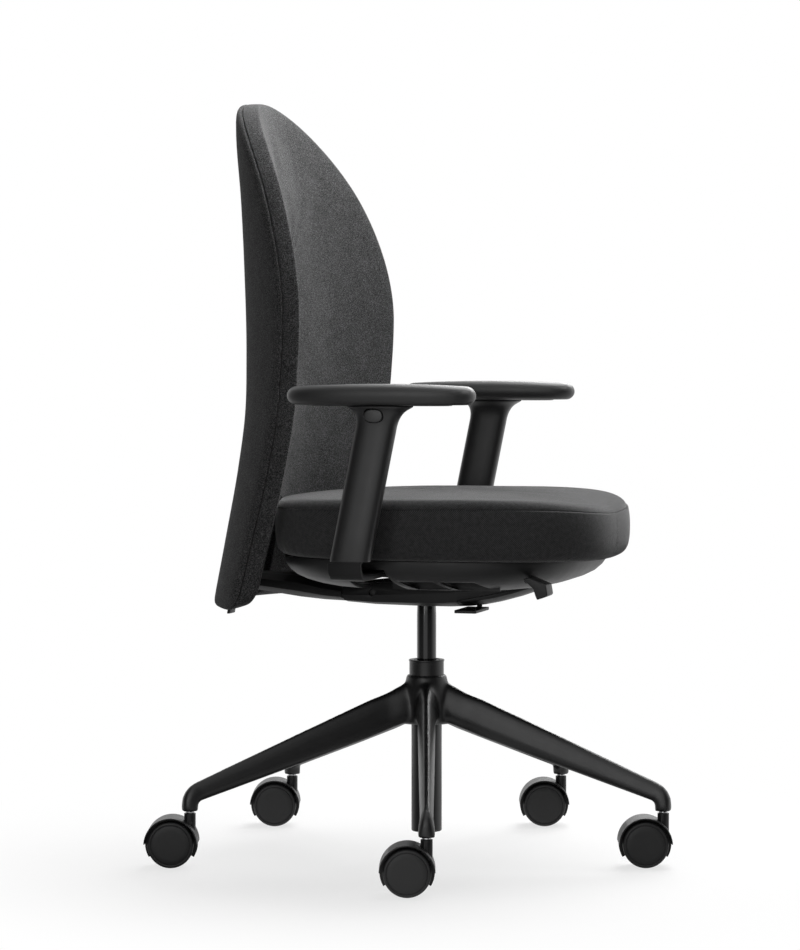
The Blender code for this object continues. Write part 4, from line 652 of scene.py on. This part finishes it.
PAD_SECTION = [(0.030, 0.0), (PAD_SEAT, 0.0), (PAD_SEAT - 0.0004, -0.0015)]
PAD_SECTION += [(PAD_ROLL * (1 - math.cos(turn)), PAD_WAIST + PAD_BULGE * math.sin(turn))
                for turn in np.radians(np.arange(-85, 86, 10))]
PAD_MIDDLE = (0.0, 0.25, 0.5, 0.75, 1.0)


def hoop_mesh(name, hoops, spread, sewn):
    """A skin over hoops of points, with cloth coordinates in metres and how firmly each hoop is sewn."""
    count = len(hoops[0])
    faces = []
    for tier in range(len(hoops) - 1):
        base, above = tier * count, (tier + 1) * count
        for spot in range(count):
            after = (spot + 1) % count
            faces.append((base + spot, base + after, above + after, above + spot))
    mesh = bpy.data.meshes.new(name)
    mesh.from_pydata(np.concatenate(hoops).tolist(), [], faces)
    cloth = mesh.uv_layers.new(name="cloth")
    places = np.concatenate(spread)
    wrap = places[:, 0].max() + (places[count // 2, 0] - places[count // 2 - 1, 0])
    for face in mesh.polygons:
        first = face.vertices[0] % count
        for corner, vertex in zip(face.loop_indices, face.vertices):
            across, up = places[vertex]
            if first == count - 1 and vertex % count == 0 and abs(across) < 1e-9:
                across = wrap
            cloth.data[corner].uv = (across, up)
    piece = bpy.data.objects.new(name, mesh)
    studio.collection.objects.link(piece)
    held = piece.vertex_groups.new(name="sewn")
    for tier, hold in enumerate(sewn):
        held.add(range(tier * count, (tier + 1) * count), hold, "REPLACE")
    activate(piece)
    bpy.ops.object.mode_set(mode="EDIT")
    bpy.ops.mesh.select_all(action="SELECT")
    bpy.ops.mesh.remove_doubles(threshold=0.00005)
    face_out()
    bpy.ops.object.shade_smooth()
    return piece


def curve(stops, places):
    """Smooth values between stops, by place."""
    at, value = np.array(stops).T
    slope = np.gradient(value, at)
    spot = np.clip(np.searchsorted(at, places) - 1, 0, len(at) - 2)
    span = at[spot + 1] - at[spot]
    share = np.clip((places - at[spot]) / span, 0, 1)
    return ((1 + 2 * share) * (1 - share) ** 2 * value[spot] + share * (1 - share) ** 2 * span * slope[spot]
            + share ** 2 * (3 - 2 * share) * value[spot + 1] + share ** 2 * (share - 1) * span * slope[spot + 1])


def oval(extra):
    """An outline of along and up points round the button, some way outside it."""
    outline = []
    for step in range(BUTTON_ROUND):
        turn = 2 * math.pi * step / BUTTON_ROUND
        outline.append([middle + (half + extra) * math.copysign(abs(part) ** BUTTON_SQUARE, part)
                        for middle, half, part in zip((BUTTON_X, BUTTON_Z), BUTTON_HALF,
                                                      (math.cos(turn), math.sin(turn)))])
    return outline


def axis_x(height):
    """Where the leaning sleeve's middle is at a height."""
    return ARM_FOOT_X + math.tan(ARM_LEAN) * (height - ARM_FOOT_Z)


sleeve_rows = [(ARM_FOOT_Z, -0.06), (ARM_FOOT_Z + 0.001, -0.015), (ARM_FOOT_Z + 0.002, 0.0), (0.48, 0.0),
               (0.53, 0.0), (0.58, 0.0)]
sleeve_rows += [(NECK_FOOT + (FLANGE_TOP - NECK_FOOT) * step, float(curve(SLEEVE_FLARE, np.array([step]))[0]))
                for step in FLARE_STEPS]
sleeve_rows += [(FLANGE_TOP - 0.0004, 0.985), (FLANGE_TOP, 0.955)]
sleeve_ring, _ = rounded(1.0, 1.0, SLEEVE_FULLNESS, SLEEVE_ROUND)
post_room = ((axis_x(POST_FOOT) - POST_HALF, POST_FOOT), (axis_x(POST_FOOT) + POST_HALF, POST_FOOT),
             (axis_x(POST_HEAD) + POST_HALF, POST_HEAD), (axis_x(POST_HEAD) - POST_HALF, POST_HEAD))
pad_rows = [(PAD_HALF[0] - inset, PAD_HALF[1] - inset, rise) for inset, rise in PAD_SECTION]
pad_rows += [((PAD_HALF[0] - PAD_TOP_INSET) * (1 - share), (PAD_HALF[1] - PAD_TOP_INSET) * (1 - share), PAD_THICK)
             for share in PAD_MIDDLE]
for side, way in (("left", 1), ("right", -1)):
    dress(f"arm_bracket_{side}", arm_coat, 0.0012, 30, 3)
    dress(f"arm_plate_{side}", sleeve_coat, 0.0008)
    sleeve = capped(drawn(f"arm_sleeve_{side}_moulding", sleeve_ring, [
        ((axis_x(height), way * ARM_Y, height), *(small + flare * (large - small)
                                                  for small, large in zip(SLEEVE_HALF, FLANGE_HALF)))
        for height, flare in sleeve_rows]), 40)
    carve(sleeve, slab("post_room", post_room, way * ARM_Y - POST_ROOM, way * ARM_Y + POST_ROOM))
    carve(sleeve, slab("button_room", oval(BUTTON_GAP), *(way * (ARM_Y + depth) for depth in BUTTON_ROOM)))
    smooth_by(sleeve, 40)
    wear(sleeve, sleeve_coat, f"arm_{side}", f"arm_sleeve_{side}")
    button = slab(f"arm_button_{side}_cap", oval(0.0), *(way * (ARM_Y + depth) for depth in BUTTON_DEPTHS))
    ease_edges(button, BUTTON_EDGE, 4, 50)
    smooth_by(button, 50)
    wear(button, sleeve_coat, f"button_{side}", f"arm_button_{side}")
    hoops = []
    for long, wide, rise in pad_rows:
        ring, _ = rounded(long, wide, PAD_FULLNESS, PAD_ROUND)
        droop = PAD_DROOP * rise / PAD_THICK * (ring[:, 0] / PAD_HALF[0]) ** 2
        hoops.append(np.column_stack((ring + (PAD_X, way * PAD_Y), PAD_Z + rise - droop)) + np.array(column))
    pad = hoop_mesh(f"arm_pad_{side}_foam", hoops, [hoop[:, :2] for hoop in hoops], [1.0] * len(hoops))
    wear(capped(pad, 60), pad_skin, f"arm_{side}", f"arm_pad_{side}")


# Seat cushion
# A foam cushion in fine dark twill: a crowned top panel, a boxing strip round the side,
# and a turned seam between them that draws the edge in. It is stapled down to the board.
SEAT_FRONT, SEAT_REAR, SEAT_HALF, SEAT_FULLNESS, SEAT_ROUND = 0.285, -0.200, 0.245, 3.0, 216
SEAT_FOOT, SEAT_SEAM = 0.4382, 0.5110
FOOT_DROP, SEAM_DROP = 0.008, 0.013
DIP_FROM, DIP_HALF, DIP_ALONG, DIP_ACROSS, DIP_INSET = 0.06, 0.235, 1.6, 1.5, 0.05
TOP_FALL, TOP_FALL_FROM, TOP_FALL_CURVE, TOP_FALL_INSET = 0.010, -0.05, 1.5, 0.06
REAR_FALL, REAR_FALL_FROM, REAR_FALL_SPAN, REAR_FALL_MOST = 0.0045, 0.12, 0.27, 1.1
FRONT_ROLL, FRONT_FROM, FRONT_SPAN, FRONT_INSET = 0.9, 0.15, 0.12, 0.06
PUCKER, PUCKER_PITCH, PUCKER_AT, PUCKER_RISE = 0.0007, 0.019, 0.010, 0.016
CORNER_FULL, CORNER_CURVE = 0.62, 6
SETTLE_FRAMES, COVER_STRETCH, COVER_BEND = 20, 40.0, 6.0
COVER_PRESSURE, COVER_SWELL = 1.0, 0.003


def settle(piece):
    """Let the cover swell between its sewn lines, with no point moving further than a limit."""
    start = np.array([point.co for point in piece.data.vertices])
    cloth = piece.modifiers.new("cloth", "CLOTH")
    cloth.settings.vertex_group_mass = "sewn"
    cloth.settings.use_pressure = True
    cloth.settings.uniform_pressure_force = COVER_PRESSURE
    cloth.settings.tension_stiffness = COVER_STRETCH
    cloth.settings.compression_stiffness = COVER_STRETCH
    cloth.settings.bending_stiffness = COVER_BEND
    cloth.settings.effector_weights.gravity = 0.0
    for step in range(1, SETTLE_FRAMES + 1):
        studio.frame_set(step)
    graph = bpy.context.evaluated_depsgraph_get()
    moved = np.array([point.co for point in piece.evaluated_get(graph).data.vertices]) - start
    far = np.maximum(np.linalg.norm(moved, axis=1, keepdims=True), 1e-9)
    piece.modifiers.remove(cloth)
    piece.data.vertices.foreach_set("co", (start + moved * np.minimum(1, COVER_SWELL / far)).ravel())
    studio.frame_set(1)
    finer = piece.modifiers.new("finer", "SUBSURF")
    finer.levels = finer.render_levels = 1
    activate(piece)
    bpy.ops.object.modifier_apply(modifier="finer")
    bpy.ops.object.shade_smooth()


def front_drop(spots, amount):
    """How far the front edge dips, most in its middle."""
    along = np.clip((spots[:, 0] - DIP_FROM) / (SEAT_FRONT - DIP_FROM), 0, 1) ** DIP_ALONG
    return amount * along * (1 - np.clip(np.abs(spots[:, 1]) / DIP_HALF, 0, 1) ** DIP_ACROSS)


def top_fall(spots):
    """How far the top rolls down towards the front."""
    ahead = (spots[:, 0] - TOP_FALL_FROM) / (SEAT_FRONT - TOP_FALL_FROM)
    return TOP_FALL * np.clip(ahead, 0, 1) ** TOP_FALL_CURVE


def rear_fall(spots):
    """How far the seat sinks towards the rear."""
    return REAR_FALL * np.clip((REAR_FALL_FROM - spots[:, 0]) / REAR_FALL_SPAN, 0, REAR_FALL_MOST)


seat_half_long = (SEAT_FRONT - SEAT_REAR) / 2
seat_middle = np.array((SEAT_FRONT - seat_half_long, 0.0))
rim, rim_run = rounded(seat_half_long, SEAT_HALF, SEAT_FULLNESS, SEAT_ROUND)
tall = SEAT_SEAM - SEAT_FOOT
side_profile = ((SEAT_HALF, 0.0, 1.0), (0.150, 0.0, 1.0), (0.070, 0.0, 1.0), (0.030, 0.0, 1.0),
                (0.019, 0.0008, 1.0), (0.0120, 0.0030, 0.9), (0.0072, 0.0065, 0.7), (0.0038, 0.012, 0.5),
                (0.0018, 0.020, 0.4), (0.0006, 0.030, 0.35), (0.0002, 0.042, 0.35), (0.0004, 0.052, 0.4),
                (0.0010, 0.060, 0.6), (0.0018, 0.0660, 0.8), (0.0025, 0.0700, 1.0),
                (0.0029, tall - 0.0012, 1.0), (0.0034, tall - 0.0005, 1.0), (0.0044, tall, 1.0))
corner = np.clip(np.abs(rim[:, 0] * rim[:, 1]) / (CORNER_FULL * seat_half_long * SEAT_HALF), 0, 1) ** CORNER_CURVE
gather = PUCKER * corner * np.sin(rim_run * 2 * math.pi / PUCKER_PITCH)
seat_hoops, seat_cloth, seat_sewn = [], [], []
for inset, rise, hold in side_profile:
    ripple = gather * max(1 - abs(rise - PUCKER_AT) / PUCKER_RISE, 0.0)
    spots = rim * (1 - (inset + ripple) / SEAT_HALF)[:, None] + seat_middle
    drop = front_drop(spots, FOOT_DROP + (SEAM_DROP - FOOT_DROP) * rise / tall)
    drop = drop * np.clip(1.3 - inset / DIP_INSET, 0, 1) + rear_fall(spots) * rise / tall
    seat_hoops.append(np.column_stack((spots, SEAT_FOOT + rise - drop)))
    seat_cloth.append(np.column_stack((rim_run, np.full(SEAT_ROUND, rise - 0.6 * inset))))
    seat_sewn.append(hold)

SEAM_INSET, EDGE_ROLL = 0.0030, 0.015
top_profile = [(0.0034, 0.0004, 1.0), (SEAM_INSET, 0.0010, 1.0)]
top_profile += [(SEAM_INSET + EDGE_ROLL * (1 - math.cos(turn)), EDGE_ROLL * math.sin(turn), hold)
                for turn, hold in zip(np.radians((8, 20, 32, 45, 57, 68, 80)),
                                      (1.0, 0.95, 0.9, 0.85, 0.8, 0.75, 0.7))]
top_profile += [(0.021, 0.0154, 0.65), (0.029, 0.0160, 0.6), (0.039, 0.0167, 0.55), (0.053, 0.0176, 0.5),
                (0.075, 0.0186, 0.45), (0.105, 0.0194, 0.4), (0.150, 0.0201, 0.4), (0.200, 0.0203, 0.4),
                (SEAT_HALF, 0.0204, 0.4)]
TOP_CLOTH_APART = 5.0
rim_drop = front_drop(rim + seat_middle, SEAM_DROP)
frontal = np.clip((rim[:, 0] + seat_middle[0] - FRONT_FROM) / FRONT_SPAN, 0, 1)
for inset, rise, hold in top_profile:
    wider = inset * (1 + FRONT_ROLL * frontal * max(1 - inset / FRONT_INSET, 0.0))
    spots = rim * (1 - wider / SEAT_HALF)[:, None] + seat_middle
    inner = inset / SEAT_HALF
    fall = rim_drop * (1 - inner ** 2 * (3 - 2 * inner)) + rear_fall(spots)
    fall += top_fall(spots) * min(inset / TOP_FALL_INSET, 1.0)
    seat_hoops.append(np.column_stack((spots, SEAT_SEAM + rise - fall)))
    seat_cloth.append(rim * (1 + (top_profile[-1][1] - rise - inset) / SEAT_HALF) + TOP_CLOTH_APART)
    seat_sewn.append(hold)
for hoop in seat_hoops:
    hoop += np.array(column)
seat_soft = hoop_mesh("seat_cushion_cover", seat_hoops, seat_cloth, seat_sewn)
settle(seat_soft)

RIB_TURN, CROSS_RATE = 2 * math.pi / 0.0026, 2.2
seat_twill = Finish("seat_twill", (0.062, 0.062, 0.063), roughness=0.9, sheen_weight=0.35, sheen_roughness=0.35,
                    specular_ior_level=0.12)
thread = seat_twill.node("ShaderNodeTexCoord", out="UV")
warp = seat_twill.node("ShaderNodeSeparateXYZ", {}, {"Vector": thread}, out="X")
weft = warp.beside("Y")
rib = ((warp + weft) * RIB_TURN).sine() * 0.5 + 0.5
cross = ((warp - weft) * (RIB_TURN * CROSS_RATE)).sine() * 0.5 + 0.5
fluff = seat_twill.noise(2600.0, 3.0, 0.7, at=thread)
tone = seat_twill.noise(160.0, 4.0, 0.65, at=thread)
weave = rib * 0.42 + cross * 0.16 + fluff * 0.42
seat_twill.feed(base_color=seat_twill.shades(
    weave * 0.7 + tone * 0.3,
    (0.30, soot(0.016)), (0.50, (0.055, 0.055, 0.056)), (0.70, (0.135, 0.135, 0.137))))
seat_twill.bump(weave, 0.35, 0.0005)
wear(seat_soft, seat_twill, "seat", "seat_cushion")


# Back
# A moulded shell upholstered in a dark melange wool cloth: one panel behind, one padded panel
# in front, sewn together round the rim, with a gate at the foot for the carrier.
BACK_FOOT, BACK_WAIST, BACK_HALF, BACK_ARCH = 0.362, 0.775, 0.2285, 0.3162
BACK_TAPER, TAPER_CURVE, BACK_CORNER = 0.020, 1.5, 0.030
BACK_LINE = ((0.362, -0.311), (0.46, -0.292), (0.56, -0.2735), (0.64, -0.263), (0.72, -0.2615),
             (0.83, -0.2645), (0.95, -0.271), (1.04, -0.2795), (1.092, -0.281))
BACK_WRAP = ((0.362, 1.893), (0.50, 1.961), (0.64, 2.018), (0.78, 2.118), (0.95, 2.198), (1.09, 2.553))
BACK_ROUND = 320
BACK_CORE = (0.52, 0.86)
GATE_HALF, GATE_RISE = 0.047, 0.052
SEAM_AHEAD, FACE_AHEAD = 0.0106, 0.0405
FOOT_LIFT, FOOT_REACH = 0.3, 0.05
BACK_CROWN, CROWN_REACH = 0.019, 0.20
WRAP_STRETCH, BACK_CLOTH_APART = 0.8, 3.0


def back_outline(gate):
    """Points across and up round the back's rim, evenly spaced, from the middle of the foot."""
    turn = np.linspace(0, math.pi / 2, 400)
    low_half = BACK_HALF - BACK_TAPER
    foot_y = np.linspace(0, low_half - BACK_CORNER, 200)
    foot_z = BACK_FOOT + GATE_RISE * gate * np.clip(1 - (foot_y / GATE_HALF) ** 4, 0, 1) ** 0.5
    side_z = np.linspace(BACK_FOOT + BACK_CORNER, BACK_WAIST, 300)
    side_y = BACK_HALF - BACK_TAPER * ((BACK_WAIST - side_z) / (BACK_WAIST - BACK_FOOT)) ** TAPER_CURVE
    corner_y = low_half - BACK_CORNER + (BACK_CORNER + side_y[0] - low_half) * np.sin(turn)
    corner_z = BACK_FOOT + BACK_CORNER - BACK_CORNER * np.cos(turn)
    arch_y, arch_z = BACK_HALF * np.cos(turn), BACK_WAIST + BACK_ARCH * np.sin(turn)
    half = np.column_stack((np.concatenate((foot_y, corner_y[1:], side_y[1:], arch_y[1:])),
                            np.concatenate((foot_z, corner_z[1:], side_z[1:], arch_z[1:]))))
    whole = np.concatenate((half, (half * (-1, 1))[-2:0:-1]))
    run = np.concatenate(([0.0], np.cumsum(np.hypot(*np.diff(whole, axis=0, append=whole[:1]).T))))
    closed = np.concatenate((whole, whole[:1]))
    want = np.linspace(0, run[-1], BACK_ROUND, endpoint=False)
    return np.column_stack((np.interp(want, run, closed[:, 0]), np.interp(want, run, closed[:, 1])))


def back_panel(name, gate, crown, rows):
    """One panel of the back. A row is its inset from the rim, its share of the way in from there,
    how far it is ahead of the rear surface and how firmly it is sewn down."""
    edge = back_outline(gate)
    core = np.column_stack((np.zeros(BACK_ROUND), np.clip(edge[:, 1], *BACK_CORE)))
    reach = np.hypot(*(edge - core).T)
    hoops, spread, sewn = [], [], []
    for inset, inward, ahead, hold in rows:
        share = (1 - inset / reach) * (1 - inward)
        spot = core + (edge - core) * share[:, None]
        low = np.clip((BACK_FOOT + FOOT_REACH - spot[:, 1]) / FOOT_REACH, 0, 1)
        spot[:, 1] += FOOT_LIFT * max(ahead - SEAM_AHEAD, 0.0) * low
        swell = crown * (1 - np.clip(1 - (1 - share) * reach / CROWN_REACH, 0, 1) ** 2)
        x = curve(BACK_LINE, spot[:, 1]) + curve(BACK_WRAP, spot[:, 1]) * spot[:, 0] ** 2 + ahead + swell
        hoops.append(np.column_stack((x, spot)) + np.array(column))
        unrolled = spot[:, 0] * (1 + WRAP_STRETCH * spot[:, 0] ** 2)
        spread.append(np.column_stack((unrolled + BACK_CLOTH_APART, spot[:, 1] + ahead)))
        sewn.append(hold)
    return hoop_mesh(name, hoops, spread, sewn)


INNER_STEPS = 14
front_rows = [(0.03, 1.0, 0.0205, 1.0), (0.03, 0.6, 0.0205, 1.0), (0.012, 0.0, 0.0205, 1.0),
              (0.004, 0.0, 0.0109, 1.0), (0.0014, 0.0, 0.0107, 1.0), (0.0003, 0.0, 0.0112, 1.0),
              (0.0, 0.0, 0.0122, 1.0), (-0.0003, 0.0, 0.0150, 1.0), (-0.0006, 0.0, 0.0200, 1.0),
              (-0.0005, 0.0, 0.0260, 1.0), (-0.0001, 0.0, 0.0312, 1.0), (0.0004, 0.0, 0.0336, 1.0),
              (0.0010, 0.0, 0.0348, 1.0), (0.0021, 0.0, 0.0356, 1.0), (0.0042, 0.0, 0.0365, 1.0),
              (0.0075, 0.0, 0.0376, 0.95), (0.0120, 0.0, 0.0387, 0.8), (0.0180, 0.0, 0.0396, 0.6),
              (0.0250, 0.0, 0.0402, 0.4), (0.0350, 0.0, FACE_AHEAD, 0.2)]
front_rows += [(0.035, step / INNER_STEPS, FACE_AHEAD, 0.0) for step in range(1, INNER_STEPS + 1)]
rear_rows = [(0.03, 1.0, 0.0096, 1.0), (0.03, 0.6, 0.0096, 1.0), (0.012, 0.0, 0.0096, 1.0),
             (0.004, 0.0, 0.0100, 1.0), (0.0013, 0.0, 0.0100, 1.0), (0.0003, 0.0, 0.0095, 1.0),
             (0.0, 0.0, 0.0084, 1.0), (0.0004, 0.0, 0.0060, 1.0), (0.0018, 0.0, 0.0037, 1.0),
             (0.0042, 0.0, 0.0019, 1.0), (0.0080, 0.0, 0.0008, 1.0), (0.014, 0.0, 0.0002, 1.0),
             (0.030, 0.0, 0.0, 1.0)]
rear_rows += [(0.03, step / INNER_STEPS, 0.0, 1.0) for step in range(1, INNER_STEPS + 1)]
back_front = back_panel("back_front_panel", 1.0, BACK_CROWN, front_rows)
back_rear = back_panel("back_rear_panel", 0.0, 0.0, rear_rows)
settle(back_front)

melange = Finish("back_melange", (0.070, 0.070, 0.071), roughness=0.95, sheen_weight=0.18, sheen_roughness=0.4,
                 specular_ior_level=0.10)
fleck = melange.noise(620.0, 3.0, 0.75)
fibre = melange.noise(1500.0, 2.0, 0.7)
cloud = melange.noise(34.0, 3.0, 0.6)
felt = fleck * 0.66 + fibre * 0.28 + cloud * 0.06
melange.feed(base_color=melange.shades(
    felt, (0.40, soot(0.014)), (0.50, (0.060, 0.060, 0.061)), (0.60, (0.180, 0.180, 0.182))))
melange.bump(felt, 0.5, 0.0009)
wear(back_front, melange, "back", "back_front_cushion")
wear(back_rear, melange, "back", "back_rear_cover")
dress("back_shell", moulding, 0.0006)
dress("back_latch", moulding, 0.0008)
